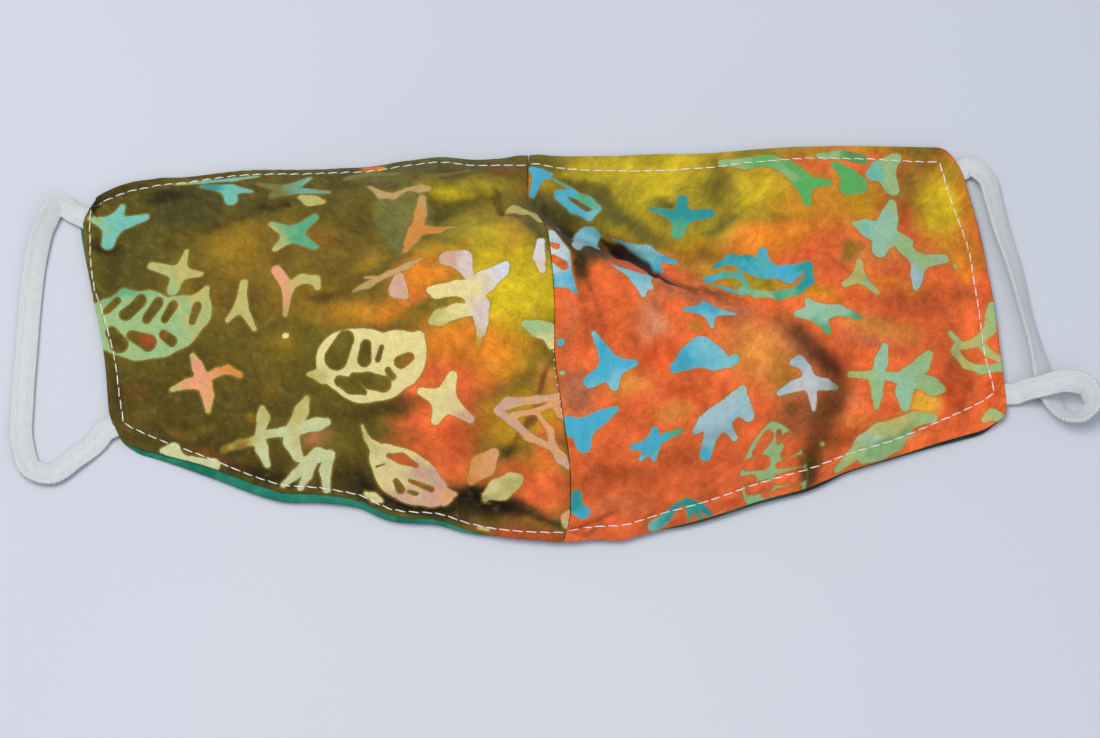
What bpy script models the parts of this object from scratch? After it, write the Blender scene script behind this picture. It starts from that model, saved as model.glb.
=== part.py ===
"""A contoured two-layer cloth face mask, lying outer side up, with a flat elastic band for each ear.

Metres, +Z up. The mask's width runs along X and its centre seam along Y, with the nose edge at +Y.
The cloth rests on z = 0 round its hem, and it is hollow and open underneath.
"""
import math

import bpy
import numpy as np

COLLECTION_NAME = "cloth_face_mask"

# The cloth as it lies, measured in plan from the middle of the centre seam
SEAM_RISE = 0.107
SEAM_SWAY = 0.008
CROWN_HEIGHT = 0.030
LEFT_TOP_REACH = 0.1195
LEFT_BOTTOM_REACH = 0.1088
LEFT_EAR_RISE = 0.0628
LEFT_EAR_LIFT = 0.0077
RIGHT_TOP_REACH = 0.1112
RIGHT_BOTTOM_REACH = 0.1203
RIGHT_EAR_RISE = 0.0740
RIGHT_EAR_LIFT = 0.0165
EDGE_BOW = 0.010
FOLD_HEIGHT = 0.010
FOLD_WIDTH = 0.010
HEM_FADE = 0.012

# The two layers
OUTER_THICKNESS = 0.0010
LINING_THICKNESS = 0.0010
LAYER_GAP = 0.0003
SEAM_GAP = 0.0005
LINING_PEEK = 0.0030

# The elastic bands
BAND_WIDTH = 0.0060
BAND_THICKNESS = 0.0012
BAND_CLEARANCE = 0.0003
BAND_TAB = 0.0020
LEFT_LOOP_REACH = 0.0234
RIGHT_LOOP_REACH = 0.0207
LOOP_ENDS = {"left": (0.95, 0.02), "right": (0.95, 0.09)}

# How finely the cloth and the bands are faceted
COLUMNS = 26
ROWS = 22
COLUMN_CROWDING = 1.30
SECTION_STEPS = 240
BAND_STEPS = 4

# The centre seam: rise up the seam, and sway to the right as a share of SEAM_SWAY
SEAM = (
    ("rise", "sway"),
    (0.00, 0.79),
    (0.06, 1.02),
    (0.15, 1.00),
    (0.25, 0.80),
    (0.38, 0.53),
    (0.50, 0.52),
    (0.63, 0.38),
    (0.72, 0.20),
    (0.79, -0.08),
    (0.86, -0.38),
    (1.00, -0.34),
)

# Each hem from the seam to the ear corner, and its bow upwards as a share of EDGE_BOW
TOP_HEM = {
    "left": (
        ("along", "bow"),
        (0.00, 0.00),
        (0.12, 0.08),
        (0.22, 0.29),
        (0.37, 0.27),
        (0.50, 0.40),
        (0.66, 0.55),
        (0.78, 0.50),
        (0.85, 0.54),
        (0.92, 0.47),
        (0.985, 0.25),
        (1.00, 0.00),
    ),
    "right": (
        ("along", "bow"),
        (0.00, 0.00),
        (0.15, 0.00),
        (0.32, 0.06),
        (0.44, 0.09),
        (0.53, 0.18),
        (0.64, 0.27),
        (0.84, 0.30),
        (0.95, 0.30),
        (0.98, 0.24),
        (1.00, 0.00),
    ),
}
BOTTOM_HEM = {
    "left": (
        ("along", "bow"),
        (0.00, 0.00),
        (0.13, -0.26),
        (0.20, -0.30),
        (0.27, -0.23),
        (0.38, -0.40),
        (0.45, -0.24),
        (0.54, -0.34),
        (0.63, -0.54),
        (0.79, -0.38),
        (0.91, -0.37),
        (0.98, -0.30),
        (1.00, 0.00),
    ),
    "right": (
        ("along", "bow"),
        (0.00, 0.00),
        (0.06, -0.14),
        (0.14, -0.38),
        (0.20, -0.38),
        (0.30, -0.42),
        (0.45, -0.36),
        (0.53, -0.38),
        (0.64, -0.23),
        (0.74, -0.21),
        (0.84, -0.18),
        (0.94, -0.18),
        (1.00, 0.00),
    ),
}

# Each ear edge from its bottom corner to its top one, and its bow outwards as a share of EDGE_BOW
EAR_EDGE = {
    "left": (
        ("along", "bow"),
        (0.00, 0.00),
        (0.09, 0.17),
        (0.29, 0.14),
        (0.52, 0.20),
        (0.62, 0.27),
        (0.78, 0.31),
        (0.93, 0.27),
        (1.00, 0.00),
    ),
    "right": (
        ("along", "bow"),
        (0.00, 0.00),
        (0.03, 0.13),
        (0.11, 0.21),
        (0.24, 0.27),
        (0.45, 0.36),
        (0.63, 0.36),
        (0.87, 0.25),
        (0.95, 0.16),
        (1.00, 0.00),
    ),
}

# Cross-sections of each half, from the seam to the ear edge.
# crest: the highest point as a share of CROWN_HEIGHT, at the share crest_at of the way up;
# belly: how full the lower slope is; foot: the height, as a share of the crest's, at foot_at,
# where the steep fall under the nose band ends; hem: how full the slope is from there to the top hem.
SECTIONS = {
    "left": (
        ("reach", "crest", "crest_at", "belly", "foot", "foot_at", "hem"),
        (0.00, 1.00, 0.64, 2.0, 0.28, 0.86, 2.0),
        (0.08, 0.98, 0.63, 2.0, 0.36, 0.86, 3.0),
        (0.20, 0.93, 0.60, 2.0, 0.52, 0.86, 4.0),
        (0.35, 0.84, 0.55, 2.0, 0.62, 0.84, 4.5),
        (0.50, 0.68, 0.52, 2.0, 0.68, 0.83, 4.5),
        (0.65, 0.48, 0.50, 2.0, 0.72, 0.82, 4.0),
        (0.80, 0.24, 0.50, 1.9, 0.74, 0.80, 3.0),
        (0.91, 0.03, 0.50, 1.8, 0.70, 0.80, 2.0),
        (0.93, 0.00, 0.50, 1.8, 0.70, 0.80, 2.0),
        (1.00, 0.00, 0.50, 1.8, 0.70, 0.80, 2.0),
    ),
    "right": (
        ("reach", "crest", "crest_at", "belly", "foot", "foot_at", "hem"),
        (0.00, 1.00, 0.64, 2.0, 0.28, 0.86, 2.0),
        (0.07, 0.98, 0.60, 2.0, 0.30, 0.81, 1.6),
        (0.16, 0.92, 0.55, 2.0, 0.36, 0.74, 1.4),
        (0.28, 0.84, 0.50, 2.0, 0.52, 0.67, 1.4),
        (0.40, 0.74, 0.46, 2.0, 0.70, 0.64, 1.5),
        (0.52, 0.60, 0.46, 2.0, 0.84, 0.66, 1.8),
        (0.66, 0.44, 0.48, 2.0, 0.82, 0.72, 1.9),
        (0.80, 0.22, 0.50, 1.9, 0.74, 0.78, 1.9),
        (0.91, 0.03, 0.50, 1.8, 0.70, 0.80, 1.8),
        (0.93, 0.00, 0.50, 1.8, 0.70, 0.80, 1.8),
        (1.00, 0.00, 0.50, 1.8, 0.70, 0.80, 1.8),
    ),
}

# Soft folds across the cloth. Their ends are shares of the panel's reach and of SEAM_RISE from
# the middle of the seam; height and width are shares of FOLD_HEIGHT and FOLD_WIDTH.
FOLDS = (
    ("from_x", "from_y", "to_x", "to_y", "height", "width"),
    (-0.01, 0.37, 0.14, 0.24, -0.25, 0.60),
    (0.14, 0.24, 0.42, 0.07, -0.34, 0.75),
    (0.42, 0.07, 0.62, -0.10, -0.22, 0.90),
    (0.62, -0.10, 0.58, -0.30, -0.20, 0.90),
    (0.12, 0.12, 0.15, -0.12, -0.13, 0.55),
    (0.20, 0.10, 0.25, -0.14, 0.10, 0.70),
    (0.66, 0.12, 0.80, 0.10, 0.14, 0.60),
    (0.78, 0.02, 0.88, -0.10, -0.10, 0.60),
    (-0.44, 0.06, -0.20, 0.26, -0.20, 0.90),
    (-0.10, 0.34, -0.05, 0.26, 0.20, 0.50),
    (-0.32, -0.38, -0.08, -0.42, -0.22, 0.60),
    (-0.62, 0.30, -0.45, 0.36, -0.12, 0.60),
    (-0.80, -0.05, -0.60, -0.22, -0.10, 0.90),
)

# How far the lining shows past the outer cloth, as a share of LINING_PEEK
LINING_AT_BOTTOM = {
    "left": (
        ("along", "peek"),
        (0.00, 0.00),
        (0.10, 0.10),
        (0.20, 0.33),
        (0.38, 0.35),
        (0.54, 0.85),
        (0.63, 1.00),
        (0.79, 0.90),
        (0.90, 0.35),
        (1.00, 0.25),
    ),
    "right": (
        ("along", "peek"),
        (0.00, 0.00),
        (0.15, 0.00),
        (0.28, 0.28),
        (0.90, 0.30),
        (1.00, 0.20),
    ),
}
LINING_AT_EAR = {
    "left": (
        ("along", "peek"),
        (0.00, 0.25),
        (0.40, 0.15),
        (0.60, 0.30),
        (0.95, 0.30),
        (1.00, 0.15),
    ),
    "right": (
        ("along", "peek"),
        (0.00, 0.20),
        (0.10, 0.05),
        (1.00, 0.05),
    ),
}

# The middle of each band, from its upper end to its lower one, seen in plan. along: a share of the
# line between the two ends; out: the distance outwards from that line, as a share of the loop's
# reach; lift: how far the band is held off the table, as a share of its width; lean: how far its
# width leans up out of the table's plane, in degrees.
BAND_ROUTE = {
    "left": (
        ("along", "out", "lift", "lean"),
        (-0.066, 0.090, 0.05, 8),
        (-0.072, 0.224, 0.08, 24),
        (0.004, 0.400, 0.06, 28),
        (0.142, 0.556, 0.02, 18),
        (0.350, 0.700, 0.00, 8),
        (0.582, 0.824, 0.00, 4),
        (0.810, 0.940, 0.00, 6),
        (0.995, 1.000, 0.00, 14),
        (1.121, 0.925, 0.00, 16),
        (1.155, 0.740, 0.00, 10),
        (1.107, 0.450, 0.02, 5),
        (1.048, 0.190, 0.02, 0),
    ),
    "right": (
        ("along", "out", "lift", "lean"),
        (0.002, 0.165, 0.12, 8),
        (0.057, 0.274, 0.10, 20),
        (0.155, 0.305, 0.08, 28),
        (0.280, 0.330, 0.05, 32),
        (0.479, 0.396, 0.02, 40),
        (0.660, 0.420, 0.00, 50),
        (0.816, 0.456, 0.00, 46),
        (0.971, 0.489, 0.00, 24),
        (1.059, 0.530, 0.00, 28),
        (1.126, 0.653, 0.03, 42),
        (1.141, 0.833, 0.10, 50),
        (1.100, 1.000, 0.27, 50),
        (1.034, 0.962, 0.52, 40),
        (0.998, 0.733, 0.70, 16),
        (1.002, 0.410, 0.68, 0),
        (1.000, 0.200, 0.30, 0),
    ),
}

FINISHES = {
    "outer_left": ((0.26, 0.19, 0.05, 1.0), 0.85),
    "outer_right": ((0.80, 0.26, 0.08, 1.0), 0.85),
    "lining_left": ((0.03, 0.22, 0.14, 1.0), 0.88),
    "lining_right": ((0.02, 0.03, 0.03, 1.0), 0.88),
    "ear_loop_left": ((0.78, 0.80, 0.80, 1.0), 0.70),
    "ear_loop_right": ((0.78, 0.80, 0.80, 1.0), 0.70),
}


def clear_scene():
    """Removes every object that is already there."""
    for obj in list(bpy.data.objects):
        bpy.data.objects.remove(obj, do_unlink=True)


def make_collection():
    """Returns the collection that the mask's pieces go in."""
    collection = bpy.data.collections.new(COLLECTION_NAME)
    bpy.context.scene.collection.children.link(collection)
    return collection


def make_material(name):
    """Returns a piece's own material."""
    colour, roughness = FINISHES[name]
    material = bpy.data.materials.new(name + "_cloth")
    material.use_nodes = True
    shader = material.node_tree.nodes["Principled BSDF"]
    shader.inputs["Base Color"].default_value = colour
    shader.inputs["Roughness"].default_value = roughness
    shader.inputs["Metallic"].default_value = 0.0
    return material


def read(table, column, share, level_start=False):
    """Follows one column of a table smoothly, at a share of its first column."""
    rows = table[1:]
    k = table[0].index(column)
    at = [row[0] for row in rows]
    value = [row[k] for row in rows]
    last = len(rows) - 1
    i = max(0, min(int(np.searchsorted(at, share, side="right")) - 1, last - 1))
    span = at[i + 1] - at[i]
    slope = (value[i + 1] - value[i]) / span
    before = slope if i == 0 else (value[i + 1] - value[i - 1]) / (at[i + 1] - at[i - 1])
    after = slope if i + 1 == last else (value[i + 2] - value[i]) / (at[i + 2] - at[i])
    if i == 0 and level_start or i > 0 and slope * (value[i] - value[i - 1]) <= 0:
        before = 0.0
    if i + 1 < last and slope * (value[i + 2] - value[i + 1]) <= 0:
        after = 0.0
    t = (share - at[i]) / span
    start = (1 + 2 * t) * (1 - t) ** 2 * value[i] + t * (1 - t) ** 2 * before * span
    end = t * t * (3 - 2 * t) * value[i + 1] - t * t * (1 - t) * after * span
    return start + end


def ease(t):
    """Rises smoothly from 0 to 1."""
    t = min(max(t, 0.0), 1.0)
    return t * t * (3 - 2 * t)


class Half:
    """The plan and the height of one half of the mask, from the seam (0) to the ear edge (1)."""

    def __init__(self, name):
        self.name = name
        self.side = -1 if name == "left" else 1
        top, bottom, rise, lift = (
            (LEFT_TOP_REACH, LEFT_BOTTOM_REACH, LEFT_EAR_RISE, LEFT_EAR_LIFT)
            if name == "left"
            else (RIGHT_TOP_REACH, RIGHT_BOTTOM_REACH, RIGHT_EAR_RISE, RIGHT_EAR_LIFT)
        )
        self.reach = max(top, bottom)
        self.ear_top = np.array([self.side * top, lift + rise / 2])
        self.ear_bottom = np.array([self.side * bottom, lift - rise / 2])

    def seam(self, up):
        return np.array([SEAM_SWAY * read(SEAM, "sway", up), SEAM_RISE * (up - 0.5)])

    def ear(self, up):
        bow = EDGE_BOW * read(EAR_EDGE[self.name], "bow", up)
        return self.ear_bottom + (self.ear_top - self.ear_bottom) * up + (self.side * bow, 0)

    def top(self, along):
        bow = EDGE_BOW * read(TOP_HEM[self.name], "bow", along)
        return self.seam(1) + (self.ear_top - self.seam(1)) * along + (0, bow)

    def bottom(self, along):
        bow = EDGE_BOW * read(BOTTOM_HEM[self.name], "bow", along)
        return self.seam(0) + (self.ear_bottom - self.seam(0)) * along + (0, bow)

    def plan(self, along, up):
        """A point of the half in plan, blended between its four edges."""
        across = (1 - along) * self.seam(up) + along * self.ear(up)
        upwards = (1 - up) * self.bottom(along) + up * self.top(along)
        corners = (1 - up) * ((1 - along) * self.seam(0) + along * self.ear_bottom)
        corners = corners + up * ((1 - along) * self.seam(1) + along * self.ear_top)
        return across + upwards - corners

    def height(self, along, up, point):
        """The height of the cloth over its hem: the cross-section here, and the folds."""
        crest, crest_at, belly, foot, foot_at, hem = (
            read(SECTIONS[self.name], column, along, level_start=True)
            for column in SECTIONS[self.name][0][1:]
        )
        crest *= CROWN_HEIGHT
        foot *= crest
        if up < crest_at:
            rise = crest * (1 - (1 - up / crest_at) ** belly)
        elif up < foot_at:
            rise = crest + (foot - crest) * ease((up - crest_at) / (foot_at - crest_at))
        else:
            rise = foot * (1 - ((up - foot_at) / (1 - foot_at)) ** hem)
        inside = min(up, 1 - up) * SEAM_RISE / HEM_FADE
        flat = ease((0.93 - along) / 0.12)
        return max(0.0, rise + folds_at(point) * ease(inside) * flat)

    def section(self, along):
        """The points of one cross-section, evenly spaced along the cloth from hem to hem."""
        ups = np.linspace(0, 1, SECTION_STEPS + 1)
        flat = [self.plan(along, up) for up in ups]
        base = LINING_THICKNESS + LAYER_GAP
        line = np.array(
            [(x, y, base + self.height(along, up, (x, y))) for up, (x, y) in zip(ups, flat)]
        )
        steps = np.linalg.norm(np.diff(line, axis=0), axis=1)
        length = np.concatenate([[0], np.cumsum(steps)])
        even = np.linspace(0, length[-1], ROWS + 1)
        return np.stack([np.interp(even, length, line[:, k]) for k in range(3)], axis=1)


def folds_at(point):
    """The height that the folds add at a point in plan."""
    total = 0.0
    for from_x, from_y, to_x, to_y, height, width in FOLDS[1:]:
        reach = LEFT_TOP_REACH if from_x + to_x < 0 else RIGHT_BOTTOM_REACH
        start = np.array([from_x * reach, from_y * SEAM_RISE])
        end = np.array([to_x * reach, to_y * SEAM_RISE])
        run = end - start
        t = float(np.dot(point - start, run) / np.dot(run, run))
        away = np.linalg.norm(point - (start + run * min(max(t, 0.0), 1.0)))
        total += height * FOLD_HEIGHT * math.exp(-((away / (width * FOLD_WIDTH)) ** 2))
    return total


def outward(edge):
    """The directions in plan that point away from the cloth, along an edge's points."""
    run = np.gradient(edge[:, :2], axis=0)
    away = np.stack([run[:, 1], -run[:, 0]], axis=1)
    return away / np.linalg.norm(away, axis=1)[:, None]


def cloth_grid(half):
    """The grid of points of one half: a column for each cross-section, from the seam outwards."""
    shares = np.linspace(0, 1, COLUMNS + 1) ** COLUMN_CROWDING
    grid = np.array([half.section(share) for share in shares])
    grid[0, :, 0] += half.side * SEAM_GAP / 2
    return grid


def lining_grid(half, grid):
    """The same grid with a border past the bottom hem and the ear edge, where the lining shows."""
    along = np.linspace(0, 1, COLUMNS + 1) ** COLUMN_CROWDING
    below = outward(grid[:, 0]) * half.side
    peek = [LINING_PEEK * read(LINING_AT_BOTTOM[half.name], "peek", a) for a in along]
    bottom = grid[:, :1].copy()
    bottom[:, 0, :2] += below * np.maximum(peek, LAYER_GAP)[:, None]
    bottom[0, 0, 0] = grid[0, 0, 0]
    wide = np.concatenate([bottom, grid], axis=1)
    up = np.linspace(0, 1, ROWS + 1)
    peek = [LINING_PEEK * read(LINING_AT_EAR[half.name], "peek", u) for u in up]
    peek = np.maximum([peek[0]] + peek, LAYER_GAP)
    beside = outward(wide[-1]) * half.side
    ear = wide[-1:].copy()
    ear[0, :, :2] += beside * peek[:, None]
    return np.concatenate([wide, ear], axis=0)


def cloth(name, grid, side, thickness, offset, collection):
    """A cloth wall: an open surface of triangles through the grid, made solid."""
    wide, tall = grid.shape[:2]
    points = [tuple(point) for column in grid for point in column]
    faces = []
    for i in range(wide - 1):
        for j in range(tall - 1):
            a, b = i * tall + j, (i + 1) * tall + j
            corner = (a, b, b + 1, a + 1)
            if math.dist(points[a], points[b + 1]) < math.dist(points[b], points[a + 1]):
                pair = ((0, 1, 2), (0, 2, 3))
            else:
                pair = ((0, 1, 3), (1, 2, 3))
            for three in pair:
                ring = [corner[k] for k in three]
                faces.append(ring if side > 0 else ring[::-1])
    mesh = bpy.data.meshes.new(name)
    mesh.from_pydata(points, [], faces)
    obj = bpy.data.objects.new(name, mesh)
    collection.objects.link(obj)
    mesh.shade_smooth()
    wall = obj.modifiers.new("wall", "SOLIDIFY")
    wall.thickness = thickness
    wall.offset = offset
    obj.data.materials.append(make_material(name))
    return obj


def band_end(half, rim, up):
    """Where a band meets the cloth, clear of the lining's rim across its width, and the way out."""
    at = half.ear(up)
    run = half.ear(up + 0.02) - at
    way = half.side * np.array([run[1], -run[0]]) / np.linalg.norm(run)
    beside = (rim[:, :2] - at) @ np.array([-way[1], way[0]])
    beyond = (rim[:, :2] - at) @ way
    near = np.abs(beside) < BAND_WIDTH * 0.6
    return at + way * (beyond[near].max() + BAND_CLEARANCE), way


def band_route(half, rim):
    """The band's middle and its lean at each point, from the upper end to the lower one."""
    reach = LEFT_LOOP_REACH if half.name == "left" else RIGHT_LOOP_REACH
    high, low = LOOP_ENDS[half.name]
    upper, upper_way = band_end(half, rim, high)
    lower, lower_way = band_end(half, rim, low)
    run = lower - upper
    out = half.side * np.array([-run[1], run[0]]) / np.linalg.norm(run)
    held = (LINING_THICKNESS + LAYER_GAP / 2 - BAND_THICKNESS / 2) / BAND_WIDTH
    knots = [(*upper, held, 0.0), (*(upper + upper_way * BAND_TAB), held, 0.0)]
    for along, away, lift, lean in BAND_ROUTE[half.name][1:]:
        knots.append((*(upper + run * along + out * away * reach), lift, math.radians(lean)))
    knots += [(*(lower + lower_way * BAND_TAB), held, 0.0), (*lower, held, 0.0)]
    points = []
    for x, y, lift, lean in curve_through(np.array(knots)):
        rest = BAND_WIDTH / 2 * math.sin(lean) + BAND_THICKNESS / 2 * math.cos(lean)
        points.append((x, y, rest + max(lift, 0.0) * BAND_WIDTH, lean))
    return points


def curve_through(knots):
    """Points on a smooth curve through the knots, evenly spaced between each pair."""
    span = np.linalg.norm(np.diff(knots[:, :2], axis=0), axis=1)
    at = np.concatenate([[0], np.cumsum(span)])
    slope = np.gradient(knots, at, axis=0)
    points = []
    for i, length in enumerate(span):
        for t in np.arange(BAND_STEPS) / BAND_STEPS:
            start = (1 + 2 * t) * (1 - t) ** 2 * knots[i] + t * (1 - t) ** 2 * length * slope[i]
            end = t * t * (3 - 2 * t) * knots[i + 1] - t * t * (1 - t) * length * slope[i + 1]
            points.append(start + end)
    return points + [knots[-1]]


def band(name, route, collection):
    """A flat elastic band: a curve as wide as the band, leaned at each point and made solid."""
    curve = bpy.data.curves.new(name, "CURVE")
    curve.dimensions = "3D"
    curve.twist_mode = "Z_UP"
    curve.extrude = BAND_WIDTH / 2
    spline = curve.splines.new("POLY")
    spline.points.add(len(route) - 1)
    for point, (x, y, height, lean) in zip(spline.points, route):
        point.co = (x, y, height, 1.0)
        point.tilt = math.radians(90) - lean
    obj = bpy.data.objects.new(name, curve)
    collection.objects.link(obj)
    wall = obj.modifiers.new("wall", "SOLIDIFY")
    wall.thickness = BAND_THICKNESS
    wall.offset = 0.0
    curve.materials.append(make_material(name))
    return obj


def centre_on_origin(pieces, collection):
    """Hangs the pieces on an empty that puts the middle of their footprint on the origin."""
    bpy.context.view_layer.update()
    depsgraph = bpy.context.evaluated_depsgraph_get()
    corners = []
    for piece in pieces:
        mesh = bpy.data.meshes.new_from_object(piece.evaluated_get(depsgraph))
        corners += [piece.matrix_world @ vertex.co for vertex in mesh.vertices]
        bpy.data.meshes.remove(mesh)
    low = [min(corner[k] for corner in corners) for k in range(3)]
    high = [max(corner[k] for corner in corners) for k in range(3)]
    middle = bpy.data.objects.new("mask_middle", None)
    collection.objects.link(middle)
    middle.location = (-(low[0] + high[0]) / 2, -(low[1] + high[1]) / 2, -low[2])
    for piece in pieces:
        piece.parent = middle


def build():
    """Makes the mask."""
    clear_scene()
    collection = make_collection()
    pieces = []
    for name in ("left", "right"):
        half = Half(name)
        grid = cloth_grid(half)
        pieces.append(cloth("outer_" + name, grid, half.side, OUTER_THICKNESS, 1.0, collection))
        below = -(1 + 2 * LAYER_GAP / LINING_THICKNESS)
        wide = lining_grid(half, grid)
        pieces.append(
            cloth("lining_" + name, wide, half.side, LINING_THICKNESS, below, collection)
        )
        route = band_route(half, wide[-1])
        pieces.append(band("ear_loop_" + name, route, collection))
    centre_on_origin(pieces, collection)


build()
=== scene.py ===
"""The looks of a batik cotton face mask with flat elastic ear loops, lying outer side up.

Metres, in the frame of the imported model. Columns named px and py are places read off the
photograph, 1100 x 738 pixels, which the camera carries onto the cloth.
"""
import math

import bpy
import numpy as np
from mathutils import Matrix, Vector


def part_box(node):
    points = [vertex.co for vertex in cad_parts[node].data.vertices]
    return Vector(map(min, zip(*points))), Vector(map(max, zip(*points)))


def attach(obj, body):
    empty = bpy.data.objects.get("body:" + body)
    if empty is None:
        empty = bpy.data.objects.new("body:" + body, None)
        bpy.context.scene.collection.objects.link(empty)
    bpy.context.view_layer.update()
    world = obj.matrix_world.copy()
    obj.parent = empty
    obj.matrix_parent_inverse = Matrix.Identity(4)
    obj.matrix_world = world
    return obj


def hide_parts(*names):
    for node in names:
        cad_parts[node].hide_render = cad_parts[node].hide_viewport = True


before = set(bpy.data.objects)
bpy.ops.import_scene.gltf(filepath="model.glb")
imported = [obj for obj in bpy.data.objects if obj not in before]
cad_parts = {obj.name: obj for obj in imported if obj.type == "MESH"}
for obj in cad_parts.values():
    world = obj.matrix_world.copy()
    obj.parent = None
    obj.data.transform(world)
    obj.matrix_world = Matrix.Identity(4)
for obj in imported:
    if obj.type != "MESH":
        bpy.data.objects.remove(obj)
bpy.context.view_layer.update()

# The camera, at the photograph's angle
PHOTO_WIDE = 1100
PHOTO_TALL = 738
CAMERA_TARGET = np.array([-0.00126, -0.00791, 0.0])
CAMERA_DISTANCE = 0.650
CAMERA_ELEVATION = math.radians(70)
SENSOR_WIDTH = 36.0
FOCAL_LENGTH = 81.26
PHOTO_SCALE = 3.82e3
CAMERA_UP = np.array([0.0, math.sin(CAMERA_ELEVATION), math.cos(CAMERA_ELEVATION)])
CAMERA_BACK = np.array([0.0, -math.cos(CAMERA_ELEVATION), math.sin(CAMERA_ELEVATION)])
CAMERA_PLACE = CAMERA_TARGET + CAMERA_DISTANCE * CAMERA_BACK

# The sizes and shares of the solids, measured in plan from the middle of the centre seam
SEAM_RISE = 0.107
SEAM_SWAY = 0.008
CROWN_HEIGHT = 0.030
LEFT_TOP_REACH = 0.1195
LEFT_BOTTOM_REACH = 0.1088
LEFT_EAR_RISE = 0.0628
LEFT_EAR_LIFT = 0.0077
RIGHT_TOP_REACH = 0.1112
RIGHT_BOTTOM_REACH = 0.1203
RIGHT_EAR_RISE = 0.0740
RIGHT_EAR_LIFT = 0.0165
EDGE_BOW = 0.010
FOLD_HEIGHT = 0.010
FOLD_WIDTH = 0.010
HEM_FADE = 0.012
FLAT_FROM = 0.93
FLAT_FADE = 0.12
OUTER_THICKNESS = 0.0010
LINING_THICKNESS = 0.0010
LAYER_GAP = 0.0003
LINING_PEEK = 0.0030
BAND_WIDTH = 0.0060
BAND_THICKNESS = 0.0012
BAND_CLEARANCE = 0.0003
BAND_TAB = 0.0020
LEFT_LOOP_REACH = 0.0234
RIGHT_LOOP_REACH = 0.0207
LOOP_ENDS = {"left": (0.95, 0.02), "right": (0.95, 0.09)}
EAR_SIZES = {
    "left": (LEFT_TOP_REACH, LEFT_BOTTOM_REACH, LEFT_EAR_RISE, LEFT_EAR_LIFT),
    "right": (RIGHT_TOP_REACH, RIGHT_BOTTOM_REACH, RIGHT_EAR_RISE, RIGHT_EAR_LIFT),
}

# How finely the cloth is meshed, the seam's narrow gap and the turned edges
OUTER_COLUMNS = 270
OUTER_ROWS = 250
LINING_COLUMNS = 150
LINING_ROWS = 140
SECTION_STEPS = 600
HEM_ROLL = 0.00047
SEAM_ROLL = 0.00026
ROLL_STEPS = 5
HEM_TURN = 0.0030
LINING_TURN = 0.0060
EDGE_TURN = 0.0020
LINING_INSET = 0.0010
SEAM_GAP = 0.00006
SEAM_GAP_FADE = 12
LOWEST = 0.00002

# The lining's strip past the outer cloth, which narrows to a small share at the corners
BORDER_STEPS = 3
BORDER_SMOOTH = 6
CORNER_FADE = 0.07
CORNER_LEFT = 0.06
LINING_RELIEF = (-0.0030, 0.0006)

# The stitching. Small stitches show on the seam between two heights of the photograph, in pixels
SEAM_STITCHES_SHOWN = (346, 424)
STITCH_LENGTH = 0.0030
STITCH_GAP = 0.0004
THREAD_RADIUS = 0.00017
THREAD_STEPS = 9
THREAD_SIDES = 7
SEAM_STITCH_PITCH = 0.0022
SEAM_STITCH_LENGTH = 0.0006
SEAM_THREAD_RADIUS = 0.00013
THREAD_END = 0.12

# Relief over the cloth: ridges as (height, place, width), then hills and hollows. A fade of 0 is none
CREASE_FADE = 0.004
STITCH_GROOVE = (-0.00022, 0.0, 0.0007)
HEM_RIDGE = (0.00016, -0.0016, 0.0011)
SEAM_PUCKER = (0.00016, 0.0022, 0.0030)
SEAM_PUCKER_PITCH = 0.0085
SEAM_WANDER = 2.2
SEAM_WANDER_SIZE = 0.021
SEAM_RIDGE = (0.00018, 0.0030, 0.0022)
WAVES = (
    ("height", "size", "seed", "slant", "fade"),
    (0.00022, 0.013, 3, 0, 0.006),
    (0.00010, 0.0055, 5, 1, 0),
    (0.00004, 0.0024, 8, 0, 0),
)

# The elastic
BAND_HIDDEN = 0.0045
BAND_STEP = 0.00022
BAND_SIDES = 56
RIB_COUNT = 7
KNIT_PITCH = 0.00082

# Random hills and hollows of the dye and the print as (height, size), with the size in pixels
LATTICE = 64
DYE_WARP = ((6, 46), (4, 19), (2.2, 8))
DYE_SHADE = ((0.07, 26), (0.06, 11), (0.04, 5))
PRINT_WARP = ((0.9, 13), (0.35, 4.5))

# How softly the wax's colours and limbs join, and the depth where there is no wax, in millimetres
COLOUR_BLEND = 0.7
ARM_BLEND = 0.45
NO_WAX = -3.0

# How far above or below a limb the cloth still takes its wax, in metres
LAYER_REACH = 0.0025

# How far round a place each mark is worked out, in pixels of the photograph
SPOT_SIZE = 1.6
WAX_NEAR = 16
HOLE_NEAR = 45
POCKET_NEAR = 110

# The shade in a crease for each millimetre of its depth. The sharpest ones take none of it, and pockets
# cover part of them
SHADOW_PER_MM = 0.42
SHARPEST = -1.2

# The lining's colours, dark and light: teal green on the left, near black to dark green on the right
LINING_COLOURS = {
    "left": ((0.009, 0.130, 0.082, 1.0), (0.026, 0.235, 0.150, 1.0)),
    "right": ((0.010, 0.018, 0.017, 1.0), (0.018, 0.085, 0.060, 1.0)),
}

# The weave's thread pitch in millimetres, and the tints of the materials
THREAD_PITCH = 0.34
TINT = {
    "cloud": (0.82, 0.79, 0.72, 1.0),
    "bright": (0.10, 0.075, 0.03, 1.0),
    "vein": (0.55, 0.45, 0.35, 1.0),
    "stain": (0.30, 0.20, 0.03, 1.0),
    "worn": (0.86, 0.88, 0.90, 1.0),
    "dull thread": (0.62, 0.60, 0.54, 1.0),
    "white thread": (0.86, 0.86, 0.84, 1.0),
    "clean elastic": (0.61, 0.64, 0.635, 1.0),
    "soiled elastic": (0.51, 0.545, 0.545, 1.0),
    # Painted shade of the elastic's knit holes and rib grooves
    "painted knit hole shade": (0.36, 0.39, 0.40, 1.0),
    "painted rib groove shade": (0.25, 0.28, 0.29, 1.0),
    "table": (0.53, 0.555, 0.62, 1.0),
    "light table": (0.57, 0.59, 0.65, 1.0),
    "sky": (0.86, 0.91, 1.0, 1.0),
}

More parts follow.
